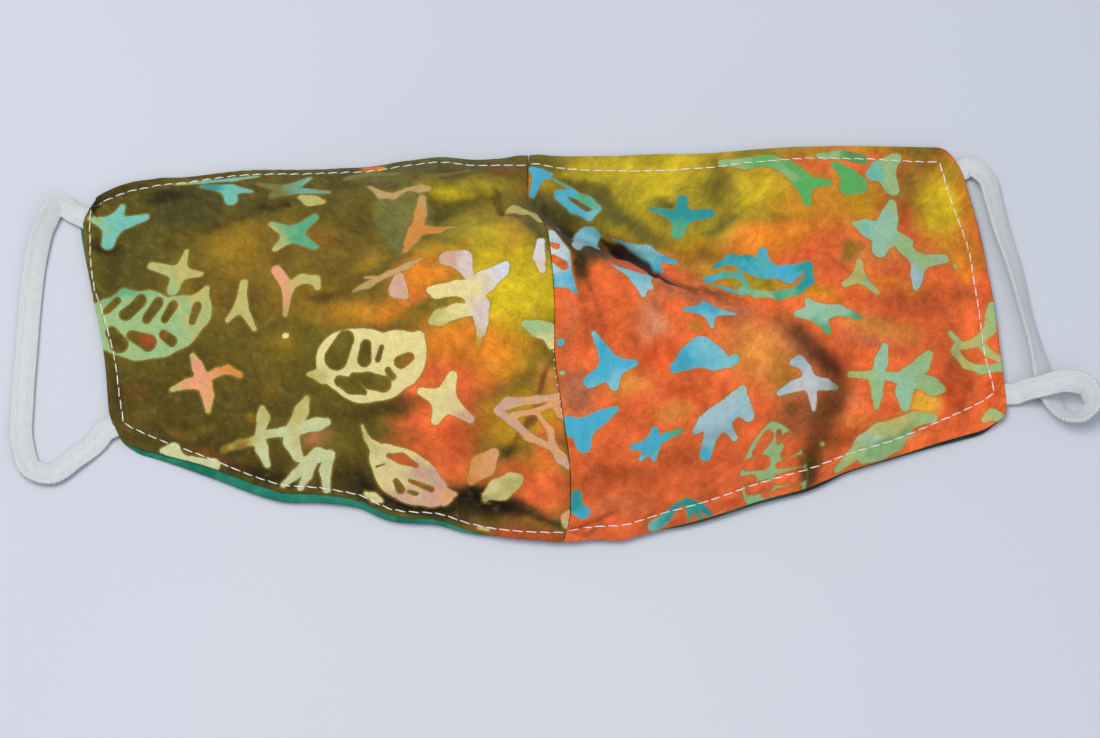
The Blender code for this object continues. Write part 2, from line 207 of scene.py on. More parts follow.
# Soft square lights that face the mask
LIGHTS = (
    ("name", "place", "size", "power", "colour"),
    ("key", (-0.35, 0.15, 1.0), 0.7, 8.0, (1.0, 0.99, 0.96)),
    ("fill", (0.5, -0.7, 0.9), 0.9, 3.0, (0.95, 0.97, 1.0)),
)

# The centre seam: rise up the seam, and sway to the right as a share of SEAM_SWAY
SEAM = (
    ("rise", "sway"),
    (0.00, 0.79), (0.06, 1.02), (0.15, 1.00), (0.25, 0.80), (0.38, 0.53), (0.50, 0.52),
    (0.63, 0.38), (0.72, 0.20), (0.79, -0.08), (0.86, -0.38), (1.00, -0.34),
)

# Each hem from the seam to the ear corner, and its bow upwards as a share of EDGE_BOW
TOP_HEM = {
    "left": (
        ("along", "bow"),
        (0.00, 0.00), (0.12, 0.04), (0.22, 0.26), (0.37, 0.20), (0.50, 0.31), (0.66, 0.50),
        (0.78, 0.51), (0.85, 0.58), (0.92, 0.57), (0.985, 0.28), (1.00, 0.00),
    ),
    "right": (
        ("along", "bow"),
        (0.00, 0.00), (0.15, 0.00), (0.32, 0.06), (0.44, 0.09), (0.53, 0.18), (0.64, 0.27),
        (0.84, 0.30), (0.95, 0.30), (0.98, 0.24), (1.00, 0.00),
    ),
}
BOTTOM_HEM = {
    "left": (
        ("along", "bow"),
        (0.00, 0.00), (0.13, -0.26), (0.20, -0.30), (0.27, -0.23), (0.38, -0.40), (0.45, -0.24),
        (0.54, -0.34), (0.63, -0.54), (0.79, -0.38), (0.91, -0.37), (0.98, -0.30), (1.00, 0.00),
    ),
    "right": (
        ("along", "bow"),
        (0.00, 0.00), (0.06, -0.14), (0.14, -0.38), (0.20, -0.38), (0.30, -0.42), (0.45, -0.36),
        (0.53, -0.38), (0.64, -0.23), (0.74, -0.21), (0.84, -0.18), (0.94, -0.18), (1.00, 0.00),
    ),
}

# Each ear edge from its bottom corner to its top one, and its bow outwards as a share of EDGE_BOW
EAR_EDGE = {
    "left": (
        ("along", "bow"),
        (0.00, 0.00), (0.09, 0.17), (0.29, 0.14), (0.52, 0.20), (0.62, 0.27), (0.78, 0.31),
        (0.93, 0.27), (1.00, 0.00),
    ),
    "right": (
        ("along", "bow"),
        (0.00, 0.00), (0.03, 0.13), (0.11, 0.21), (0.24, 0.27), (0.45, 0.36), (0.63, 0.36),
        (0.87, 0.25), (0.95, 0.16), (1.00, 0.00),
    ),
}

# Cross-sections of each half, from the seam to the ear edge, close to the solids' own
SECTIONS = {
    "left": (
        ("reach", "crest", "crest_at", "belly", "foot", "foot_at", "hem"),
        (0.00, 1.00, 0.64, 2.0, 0.28, 0.86, 1.6),
        (0.08, 0.98, 0.63, 2.0, 0.36, 0.86, 1.5),
        (0.20, 0.93, 0.60, 2.0, 0.46, 0.85, 1.4),
        (0.35, 0.84, 0.55, 2.0, 0.52, 0.82, 1.4),
        (0.50, 0.68, 0.52, 2.0, 0.60, 0.80, 1.5),
        (0.65, 0.48, 0.50, 2.0, 0.68, 0.79, 1.7),
        (0.80, 0.24, 0.50, 1.9, 0.74, 0.79, 1.9),
        (0.91, 0.03, 0.50, 1.8, 0.70, 0.80, 2.0),
        (0.93, 0.00, 0.50, 1.8, 0.70, 0.80, 2.0),
        (1.00, 0.00, 0.50, 1.8, 0.70, 0.80, 2.0),
    ),
    "right": (
        ("reach", "crest", "crest_at", "belly", "foot", "foot_at", "hem"),
        (0.00, 1.00, 0.64, 2.0, 0.28, 0.86, 2.0),
        (0.07, 0.98, 0.60, 2.0, 0.30, 0.81, 1.6),
        (0.16, 0.92, 0.55, 2.0, 0.36, 0.74, 1.4),
        (0.28, 0.84, 0.50, 2.0, 0.52, 0.67, 1.4),
        (0.40, 0.74, 0.46, 2.0, 0.70, 0.64, 1.5),
        (0.52, 0.60, 0.46, 2.0, 0.84, 0.66, 1.8),
        (0.66, 0.44, 0.48, 2.0, 0.82, 0.72, 1.9),
        (0.80, 0.22, 0.50, 1.9, 0.74, 0.78, 1.9),
        (0.91, 0.03, 0.50, 1.8, 0.70, 0.80, 1.8),
        (0.93, 0.00, 0.50, 1.8, 0.70, 0.80, 1.8),
        (1.00, 0.00, 0.50, 1.8, 0.70, 0.80, 1.8),
    ),
}

# The soft folds of the solids, in shares of the panel's reach and of SEAM_RISE
FOLDS = (
    ("from_x", "from_y", "to_x", "to_y", "height", "width"),
    (-0.01, 0.37, 0.14, 0.24, -0.25, 0.60),
    (0.14, 0.24, 0.42, 0.07, -0.34, 0.75),
    (0.42, 0.07, 0.62, -0.10, -0.22, 0.90),
    (0.62, -0.10, 0.58, -0.30, -0.20, 0.90),
    (0.12, 0.12, 0.15, -0.12, -0.13, 0.55),
    (0.20, 0.10, 0.25, -0.14, 0.10, 0.70),
    (0.66, 0.12, 0.80, 0.10, 0.14, 0.60),
    (0.78, 0.02, 0.88, -0.10, -0.10, 0.60),
    (-0.44, 0.06, -0.20, 0.26, -0.20, 0.90),
    (-0.10, 0.34, -0.05, 0.26, 0.20, 0.50),
    (-0.32, -0.38, -0.08, -0.42, -0.22, 0.60),
    (-0.62, 0.30, -0.45, 0.36, -0.12, 0.60),
    (-0.80, -0.05, -0.60, -0.22, -0.10, 0.90),
)

# How far the lining shows past the outer cloth, as a share of LINING_PEEK
LINING_AT_BOTTOM = {
    "left": (
        ("along", "peek"),
        (0.00, 0.05), (0.12, 0.15), (0.19, 0.50), (0.26, 0.75), (0.38, 0.90), (0.54, 1.05),
        (0.63, 1.10), (0.79, 0.90), (0.90, 0.40), (1.00, 0.25),
    ),
    "right": (
        ("along", "peek"),
        (0.00, 0.05), (0.15, 0.05), (0.24, 0.45), (0.35, 0.55), (0.55, 0.55), (0.65, 0.35),
        (0.90, 0.20), (1.00, 0.10),
    ),
}

# The solids' strip at the ear edge, which places the bands' ends, and the strip that shows
LINING_AT_EAR = {
    "left": (("along", "peek"), (0.00, 0.25), (0.40, 0.15), (0.60, 0.30), (0.95, 0.30), (1.00, 0.15)),
    "right": (("along", "peek"), (0.00, 0.20), (0.10, 0.05), (1.00, 0.05)),
}
LINING_SHOWS_AT_EAR = {
    "left": (("along", "peek"), (0.00, -0.14), (0.62, -0.14), (0.72, 0.15), (0.90, 0.30), (1.00, -0.10)),
    "right": (("along", "peek"), (0.00, -0.14), (1.00, -0.14)),
}

# The middle of each band, from its upper end to its lower one, as in the solids
BAND_ROUTE = {
    "left": (
        ("along", "out", "lift", "lean"),
        (-0.066, 0.090, 0.05, 8), (-0.072, 0.224, 0.08, 24), (0.004, 0.400, 0.06, 28),
        (0.142, 0.556, 0.02, 18), (0.350, 0.700, 0.00, 8), (0.582, 0.824, 0.00, 4),
        (0.810, 0.940, 0.00, 6), (0.995, 1.000, 0.00, 14), (1.121, 0.925, 0.00, 16),
        (1.155, 0.740, 0.00, 10), (1.107, 0.450, 0.02, 5), (1.048, 0.190, 0.02, 0),
    ),
    "right": (
        ("along", "out", "lift", "lean"),
        (0.002, 0.165, 0.12, 8), (0.057, 0.274, 0.10, 20), (0.155, 0.305, 0.08, 28),
        (0.280, 0.330, 0.05, 32), (0.479, 0.396, 0.02, 40), (0.660, 0.420, 0.00, 50),
        (0.816, 0.456, 0.00, 46), (0.971, 0.489, 0.00, 24), (1.059, 0.530, 0.00, 28),
        (1.126, 0.653, 0.03, 42), (1.141, 0.833, 0.10, 50), (1.100, 1.000, 0.27, 50),
        (1.034, 0.962, 0.52, 40), (0.998, 0.733, 0.70, 16), (1.002, 0.410, 0.68, 0),
        (1.000, 0.200, 0.30, 0),
    ),
}

# Sharp creases and small ridges, from one place in the photograph to another, in millimetres
CREASES = (
    ("from_px", "from_py", "to_px", "to_py", "height", "width"),
    (540, 206, 572, 228, -1.6, 3.0),
    (572, 228, 618, 250, -1.8, 2.4),
    (618, 250, 655, 273, -1.6, 1.5),
    (655, 273, 696, 292, -1.0, 1.1),
    (600, 226, 668, 256, 0.8, 2.4),
    (575, 262, 588, 345, -0.5, 1.6),
    (600, 262, 622, 335, 0.5, 2.2),
    (590, 285, 606, 330, -0.4, 1.2),
    (642, 300, 655, 345, -0.3, 1.8),
    (745, 256, 768, 284, -0.35, 0.8),
    (768, 284, 800, 330, -0.45, 1.3),
    (800, 330, 838, 368, -0.9, 2.2),
    (838, 368, 842, 410, -0.6, 3.0),
    (790, 266, 800, 251, -0.30, 0.9),
    (800, 251, 828, 254, -0.35, 0.9),
    (828, 254, 850, 272, -0.40, 1.0),
    (850, 272, 900, 292, -0.25, 1.8),
    (860, 318, 930, 330, -0.25, 2.6),
    (573, 531, 613, 513, -0.55, 0.9),
    (958, 350, 950, 392, -0.25, 2.0),
    (972, 375, 962, 410, -0.30, 1.6),
    (640, 470, 740, 430, -0.25, 3.0),
    (497, 190, 502, 214, -0.8, 1.3),
    (502, 214, 520, 217, -0.7, 1.1),
    (520, 217, 541, 236, -0.6, 1.2),
    (510, 203, 536, 212, 0.6, 1.6),
    (436, 221, 480, 193, -0.7, 2.4),
    (300, 188, 398, 181, -0.35, 1.0),
    (416, 178, 464, 172, -0.30, 0.9),
    (322, 297, 352, 291, -0.45, 1.4),
    (352, 288, 420, 256, 0.30, 1.8),
    (466, 248, 504, 257, 0.25, 1.2),
    (504, 257, 552, 292, 0.25, 1.2),
    (478, 497, 563, 527, -0.8, 1.2),
    (380, 350, 330, 372, -0.2, 3.0),
    (120, 240, 112, 300, -0.2, 2.0),
)

# How far the top stitching lies inside each edge, in millimetres
STITCH_INSET = {
    "left": {
        "bottom": (
            ("along", "inset"),
            (0.00, 2.7), (0.10, 2.2), (0.25, 1.7), (0.40, 1.5), (0.60, 2.0), (0.75, 2.2),
            (0.88, 4.0), (1.00, 7.6),
        ),
        "ear": (
            ("along", "inset"),
            (0.00, 8.5), (0.11, 6.2), (0.20, 4.6), (0.30, 3.6), (0.41, 2.5), (0.52, 1.5),
            (0.62, 0.8), (0.75, 1.2), (0.84, 2.2), (1.00, 3.8),
        ),
        "top": (
            ("along", "inset"),
            (0.00, 5.6), (0.12, 5.0), (0.22, 4.6), (0.37, 3.6), (0.50, 3.2), (0.66, 3.0),
            (0.82, 3.2), (0.92, 3.6), (1.00, 4.4),
        ),
    },
    "right": {
        "bottom": (
            ("along", "inset"),
            (0.00, 3.0), (0.10, 4.2), (0.25, 5.2), (0.40, 5.8), (0.55, 5.4), (0.70, 4.9),
            (0.85, 6.2), (1.00, 9.5),
        ),
        "ear": (
            ("along", "inset"),
            (0.00, 3.0), (0.12, 3.2), (0.25, 4.2), (0.50, 4.4), (0.62, 4.6), (0.80, 7.2), (1.00, 8.8),
        ),
        "top": (
            ("along", "inset"),
            (0.00, 5.8), (0.15, 6.2), (0.32, 7.4), (0.60, 7.0), (0.80, 5.6), (1.00, 4.6),
        ),
    },
}

# Dye colours, as red, green and blue out of 255
DYE = {
    "soot": (30, 23, 12),
    "umber": (70, 58, 23),
    "shadow": (60, 59, 29),
    "olive": (101, 89, 30),
    "moss": (82, 80, 44),
    "sage": (118, 118, 66),
    "bronze": (137, 105, 34),
    "gold": (188, 142, 28),
    "honey": (200, 132, 38),
    "saffron": (236, 172, 58),
    "yellow": (208, 180, 34),
    "lime": (160, 142, 36),
    "orange": (232, 134, 40),
    "amber": (214, 138, 62),
    "coral": (232, 104, 54),
    "red": (222, 82, 42),
    "rust": (178, 80, 40),
    "brown": (122, 74, 34),
    "mauve": (172, 104, 76),
    "peach": (226, 158, 104),
    "rose": (206, 162, 136),
    "salmon": (230, 154, 114),
    "sand": (190, 154, 98),
    "lilac": (212, 192, 182),
    "cream": (226, 208, 140),
    "straw": (188, 178, 104),
    "pale": (200, 202, 148),
    "mint": (154, 184, 124),
    "frost": (152, 194, 160),
    "green": (92, 172, 92),
    "leaf": (96, 146, 88),
    "sea": (90, 164, 122),
    "aqua": (114, 186, 168),
    "sky": (126, 188, 198),
    "blue": (76, 170, 196),
    "teal": (50, 146, 142),
    "mist": (166, 192, 196),
    "white": (206, 212, 214),
}

# The ground of each half, and the blots of dye laid over it one after another; some dark blots along the
# deepest folds are painted shadow, wholly or in part. wide and tall are the radii in pixels, turn is in
# degrees, soft is the share of the radius that fades out.
GROUND = {"left": "olive", "right": "coral"}
BLOTS = {
    "left": (
        ("colour", "px", "py", "wide", "tall", "turn", "soft", "strength"),
        ("umber", 200, 400, 150, 90, 10, 0.7, 0.45),
        ("umber", 236, 462, 120, 22, -16, 0.8, 0.75),
        ("bronze", 250, 360, 60, 40, 0, 0.9, 0.25),
        ("bronze", 250, 265, 100, 66, 10, 0.8, 0.85),
        ("olive", 150, 230, 70, 56, 0, 0.7, 0.75),
        ("gold", 236, 240, 34, 24, 20, 0.9, 0.5),
        ("honey", 325, 240, 26, 16, 0, 0.9, 0.5),
        ("moss", 190, 212, 54, 16, 12, 0.8, 0.7),
        ("moss", 150, 258, 30, 24, 0, 0.8, 0.3),
        ("shadow", 116, 262, 34, 60, 0, 0.8, 0.5),
        ("shadow", 190, 206, 110, 28, 6, 0.8, 0.55),
        ("soot", 106, 252, 20, 10, -14, 0.9, 0.85),
        ("soot", 166, 198, 30, 8, 10, 0.9, 0.7),
        ("soot", 104, 200, 24, 9, 30, 0.9, 0.75),
        ("umber", 132, 190, 44, 9, 12, 0.8, 0.7),
        ("umber", 264, 206, 38, 9, 10, 0.8, 0.8),
        ("soot", 286, 207, 8, 4, -30, 0.9, 0.6),
        ("umber", 222, 222, 30, 8, 20, 0.9, 0.6),
        ("soot", 172, 246, 10, 8, 0, 0.9, 0.4),
        ("umber", 240, 298, 30, 36, 0, 0.9, 0.45),
        ("umber", 202, 280, 12, 12, 0, 0.9, 0.5),
        ("bronze", 300, 300, 60, 26, 12, 0.8, 0.6),
        ("gold", 285, 345, 30, 16, 10, 0.9, 0.35),
        ("umber", 350, 232, 42, 28, -10, 0.8, 0.25),
        ("bronze", 368, 252, 48, 20, 10, 0.8, 0.7),
        ("gold", 372, 262, 28, 9, 15, 0.9, 0.6),
        ("moss", 400, 168, 130, 13, 3, 0.8, 0.75),
        ("umber", 330, 182, 44, 7, 6, 0.9, 0.4),
        ("orange", 373, 168, 12, 4, 0, 0.9, 0.8),
        ("brown", 505, 166, 30, 9, 0, 0.8, 0.8),
        ("bronze", 518, 190, 20, 14, 0, 0.7, 0.8),
        ("sage", 405, 218, 26, 34, -12, 0.3, 0.85),
        ("moss", 438, 216, 26, 9, 25, 0.8, 0.6),
        ("sage", 384, 180, 34, 7, 5, 0.8, 0.6),
        ("lime", 466, 184, 46, 15, 5, 0.6, 0.95),
        ("yellow", 452, 187, 20, 8, 0, 0.9, 0.8),
        ("lime", 478, 224, 50, 26, 10, 0.7, 0.9),
        ("yellow", 505, 285, 62, 60, 0, 0.55, 0.95),
        ("honey", 512, 236, 22, 24, 0, 0.8, 0.6),
        ("bronze", 504, 206, 22, 16, -30, 0.8, 0.35),
        ("yellow", 488, 234, 46, 14, 0, 0.8, 0.6),
        ("gold", 440, 250, 44, 12, 12, 0.8, 0.85),
        ("orange", 424, 280, 44, 24, 15, 0.6, 0.95),
        ("coral", 414, 300, 30, 12, 10, 0.8, 0.7),
        ("bronze", 336, 296, 70, 28, 5, 0.7, 0.85),
        ("honey", 352, 312, 44, 15, 5, 0.8, 0.65),
        ("orange", 386, 314, 34, 18, 8, 0.8, 0.75),
        ("umber", 322, 296, 18, 7, 0, 0.9, 0.5),
        ("orange", 466, 352, 72, 42, 0, 0.6, 0.95),
        ("yellow", 510, 322, 34, 20, 0, 0.8, 0.7),
        ("gold", 526, 345, 34, 40, 0, 0.8, 0.5),
        ("yellow", 552, 290, 12, 44, 0, 0.8, 0.6),
        ("honey", 480, 372, 60, 16, 0, 0.8, 0.5),
        ("bronze", 478, 392, 20, 12, 20, 0.9, 0.7),
        ("coral", 440, 402, 54, 44, 20, 0.5, 1.0),
        ("red", 455, 436, 44, 20, 10, 0.8, 0.75),
        ("honey", 508, 424, 40, 34, 0, 0.7, 0.8),
        ("bronze", 512, 436, 28, 18, 10, 0.8, 0.3),
        ("coral", 528, 490, 60, 36, 0, 0.6, 0.95),
        ("orange", 546, 462, 26, 22, 0, 0.8, 0.6),
        ("coral", 432, 458, 60, 34, -15, 0.6, 0.95),
        ("gold", 530, 416, 44, 34, 0, 0.6, 0.9),
        ("amber", 552, 388, 20, 30, 0, 0.7, 0.9),
        ("coral", 552, 444, 20, 26, 0, 0.7, 0.85),
        ("brown", 546, 384, 26, 5, 60, 0.7, 0.95),
        ("brown", 530, 420, 34, 7, 62, 0.7, 0.95),
        ("umber", 513, 456, 16, 10, 40, 0.8, 0.9),
        ("brown", 414, 436, 9, 6, 0, 0.9, 0.5),
        ("olive", 326, 440, 38, 60, 0, 0.7, 0.7),
        ("umber", 388, 408, 50, 11, 12, 0.8, 0.9),
        ("umber", 345, 478, 40, 24, -10, 0.8, 0.85),
        # The next four: dark dye along the valley above the bottom hem, with painted shadow of its fold
        ("soot", 366, 490, 30, 12, -20, 0.8, 0.7),
        ("soot", 424, 510, 70, 12, -12, 0.7, 0.98),
        ("soot", 482, 503, 44, 17, -14, 0.6, 0.98),
        ("umber", 520, 512, 34, 9, -18, 0.8, 0.7),
        ("rust", 524, 538, 62, 12, -5, 0.6, 0.95),
        ("brown", 450, 520, 40, 4, -12, 0.9, 0.6),
        ("mauve", 316, 440, 26, 12, 10, 0.9, 0.8),
        ("rust", 215, 457, 36, 7, -20, 0.9, 0.6),
        ("soot", 262, 474, 60, 9, -18, 0.8, 0.6),
        ("bronze", 182, 438, 20, 9, 0, 0.9, 0.7),
        ("bronze", 206, 432, 12, 6, 0, 0.9, 0.6),
        ("gold", 252, 420, 7, 7, 0, 0.9, 0.6),
        ("bronze", 275, 388, 16, 12, 0, 0.9, 0.6),
        ("brown", 130, 392, 26, 14, 0, 0.9, 0.5),
        ("umber", 115, 400, 10, 40, 10, 0.8, 0.6),
        ("rust", 148, 343, 16, 9, -10, 0.7, 0.8),
        ("brown", 136, 332, 14, 6, -10, 0.8, 0.7),
        ("umber", 115, 340, 8, 8, 0, 0.8, 0.7),
        ("rust", 168, 338, 6, 5, 0, 0.8, 0.6),
        ("bronze", 90, 240, 6, 30, 0, 0.9, 0.4),
    ),
    "right": (
        ("colour", "px", "py", "wide", "tall", "turn", "soft", "strength"),
        ("lime", 640, 200, 130, 54, -8, 0.45, 1.0),
        ("olive", 545, 160, 34, 16, 0, 0.5, 1.0),
        ("lime", 650, 152, 110, 14, 0, 0.5, 1.0),
        ("lime", 762, 150, 40, 13, 0, 0.5, 0.95),
        ("gold", 806, 150, 34, 13, 0, 0.6, 0.95),
        ("gold", 866, 148, 34, 12, 0, 0.6, 0.95),
        ("bronze", 690, 252, 60, 18, -24, 0.7, 0.8),
        ("yellow", 660, 170, 120, 22, 0, 0.7, 0.85),
        ("yellow", 655, 198, 30, 30, -10, 0.7, 0.85),
        ("lime", 740, 190, 60, 40, 0, 0.6, 0.9),
        ("yellow", 772, 188, 54, 24, 0, 0.7, 0.9),
        ("gold", 760, 172, 20, 12, 0, 0.9, 0.6),
        ("olive", 720, 165, 14, 8, 0, 0.9, 0.6),
        ("moss", 584, 206, 34, 18, -32, 0.8, 0.9),
        ("olive", 570, 186, 44, 8, -25, 0.8, 0.8),
        ("moss", 625, 222, 60, 13, -30, 0.8, 0.75),
        ("moss", 664, 208, 26, 16, 0, 0.8, 0.8),
        ("olive", 722, 186, 20, 22, 0, 0.8, 0.8),
        ("moss", 722, 222, 30, 8, 20, 0.9, 0.7),
        ("gold", 690, 240, 44, 8, 14, 0.9, 0.6),
        ("honey", 826, 204, 60, 34, 0, 0.6, 0.95),
        ("gold", 866, 202, 40, 28, 0, 0.8, 0.85),
        ("lime", 760, 210, 50, 8, -4, 0.8, 0.5),
        ("honey", 905, 152, 40, 12, 0, 0.8, 0.9),
        ("olive", 920, 150, 36, 13, 0, 0.7, 0.85),
        ("olive", 922, 168, 30, 16, 0, 0.8, 0.8),
        ("bronze", 914, 194, 26, 26, 20, 0.6, 0.9),
        ("rust", 905, 216, 12, 20, 0, 0.8, 0.7),
        ("orange", 832, 170, 10, 12, 0, 0.9, 0.8),
        ("yellow", 945, 210, 30, 36, 10, 0.55, 0.95),
        ("honey", 962, 252, 30, 26, 0, 0.7, 0.8),
        ("amber", 925, 250, 22, 16, 0, 0.9, 0.6),
        ("orange", 768, 238, 46, 20, 14, 0.7, 0.95),
        ("coral", 820, 244, 50, 14, 0, 0.7, 0.55),
        ("orange", 792, 232, 56, 14, 4, 0.8, 0.7),
        ("amber", 880, 254, 44, 20, 0, 0.8, 0.7),
        ("honey", 946, 238, 26, 22, 0, 0.8, 0.6),
        ("red", 800, 254, 22, 6, 0, 0.9, 0.4),
        ("bronze", 850, 254, 14, 13, 20, 0.6, 0.9),
        ("amber", 690, 264, 60, 12, -14, 0.7, 0.85),
        ("lime", 752, 276, 64, 17, 4, 0.7, 0.9),
        ("bronze", 704, 258, 40, 13, 14, 0.8, 0.7),
        ("gold", 810, 292, 40, 10, -14, 0.8, 0.7),
        ("moss", 560, 205, 26, 12, -34, 0.6, 0.9),
        ("umber", 550, 212, 30, 11, -34, 0.5, 0.95),
        ("moss", 534, 200, 12, 20, 0, 0.7, 0.95),
        ("umber", 580, 238, 32, 13, -36, 0.5, 0.98),
        # Dark dye and painted shadow where the fold's overhang begins
        ("soot", 590, 240, 24, 6, -33, 0.6, 0.8),
        ("umber", 583, 260, 11, 24, 0, 0.6, 0.9),
        ("rust", 585, 310, 8, 44, 8, 0.9, 0.65),
        ("mauve", 566, 330, 12, 50, 5, 0.9, 0.5),
        # The next two: painted shadow under the fold's overhang and at its tip
        ("umber", 618, 252, 26, 5, -30, 0.8, 0.8),
        ("brown", 706, 292, 30, 4, -14, 0.9, 0.7),
        ("coral", 618, 278, 30, 26, 0, 0.6, 0.9),
        ("rose", 650, 322, 20, 32, 10, 0.9, 0.6),
        ("mauve", 654, 308, 8, 16, 0, 0.9, 0.6),
        ("mauve", 690, 300, 60, 10, -18, 0.8, 0.6),
        ("peach", 726, 306, 30, 10, 0, 0.9, 0.5),
        ("amber", 764, 352, 60, 46, -20, 0.7, 0.85),
        ("mauve", 746, 312, 20, 14, 0, 0.9, 0.5),
        ("lime", 690, 326, 12, 6, 0, 0.9, 0.7),
        ("amber", 632, 388, 36, 16, 5, 0.8, 0.85),
        ("amber", 672, 414, 34, 14, 5, 0.8, 0.75),
        ("mauve", 578, 396, 20, 30, 10, 0.7, 0.9),
        ("red", 660, 360, 20, 26, -30, 0.8, 0.6),
        ("red", 684, 398, 40, 7, -22, 0.9, 0.7),
        ("red", 690, 360, 18, 16, 0, 0.9, 0.5),
        ("rust", 606, 478, 46, 22, 10, 0.8, 0.65),
        ("rust", 680, 468, 60, 14, 20, 0.8, 0.6),
        ("mauve", 624, 505, 40, 16, 0, 0.9, 0.5),
        ("mauve", 660, 440, 30, 8, 20, 0.9, 0.4),
        ("rust", 576, 450, 8, 50, 0, 0.9, 0.5),
        ("brown", 588, 528, 26, 5, 20, 0.9, 0.6),
        ("orange", 820, 306, 30, 12, -20, 0.9, 0.6),
        ("amber", 880, 330, 60, 14, -10, 0.8, 0.7),
        ("rust", 920, 300, 70, 18, -6, 0.7, 0.5),
        ("orange", 890, 286, 50, 12, -6, 0.8, 0.55),
        ("brown", 962, 292, 16, 14, 0, 0.9, 0.5),
        ("orange", 966, 268, 16, 20, 0, 0.8, 0.8),
        ("honey", 970, 205, 14, 44, 14, 0.8, 0.8),
        ("brown", 988, 246, 5, 40, 14, 0.9, 0.6),
        ("lime", 948, 172, 22, 20, 0, 0.8, 0.85),
        ("brown", 810, 346, 44, 14, -44, 0.9, 0.7),
        ("umber", 826, 362, 18, 7, -44, 0.9, 0.5),
        ("mauve", 800, 410, 40, 40, 0, 0.9, 0.45),
        ("brown", 834, 384, 24, 32, 0, 0.9, 0.7),
        ("umber", 790, 404, 10, 10, 0, 0.9, 0.5),
        ("brown", 816, 424, 26, 26, 30, 0.9, 0.8),
        ("umber", 812, 470, 13, 32, 5, 0.8, 0.9),
        ("rust", 850, 440, 34, 18, 0, 0.8, 0.65),
        ("honey", 784, 384, 10, 18, 0, 0.9, 0.8),
        ("brown", 824, 404, 20, 26, 20, 0.8, 0.5),
        ("mauve", 800, 344, 46, 18, -44, 0.8, 0.5),
        ("brown", 796, 408, 26, 28, 0, 0.9, 0.5),
        ("bronze", 782, 376, 22, 20, 0, 0.9, 0.5),
        ("brown", 822, 446, 22, 40, 8, 0.9, 0.5),
        ("mauve", 866, 342, 44, 12, -10, 0.8, 0.5),
        ("amber", 876, 326, 44, 10, -6, 0.8, 0.6),
        ("peach", 852, 398, 24, 14, 0, 0.9, 0.35),
        ("amber", 858, 420, 36, 14, 10, 0.9, 0.5),
        ("rust", 966, 388, 14, 26, 10, 0.9, 0.5),
        ("red", 950, 390, 26, 26, 0, 0.8, 0.75),
        ("rust", 958, 372, 16, 30, 20, 0.9, 0.6),
        ("rust", 948, 345, 24, 24, 0, 0.9, 0.5),
        ("saffron", 924, 402, 24, 13, 0, 0.6, 0.95),
        ("honey", 900, 414, 30, 8, 10, 0.8, 0.7),
        ("peach", 906, 440, 20, 8, 14, 0.9, 0.6),
        ("coral", 1000, 330, 10, 60, 6, 0.9, 0.6),
        ("red", 996, 395, 10, 30, 0, 0.8, 0.6),
    ),
}

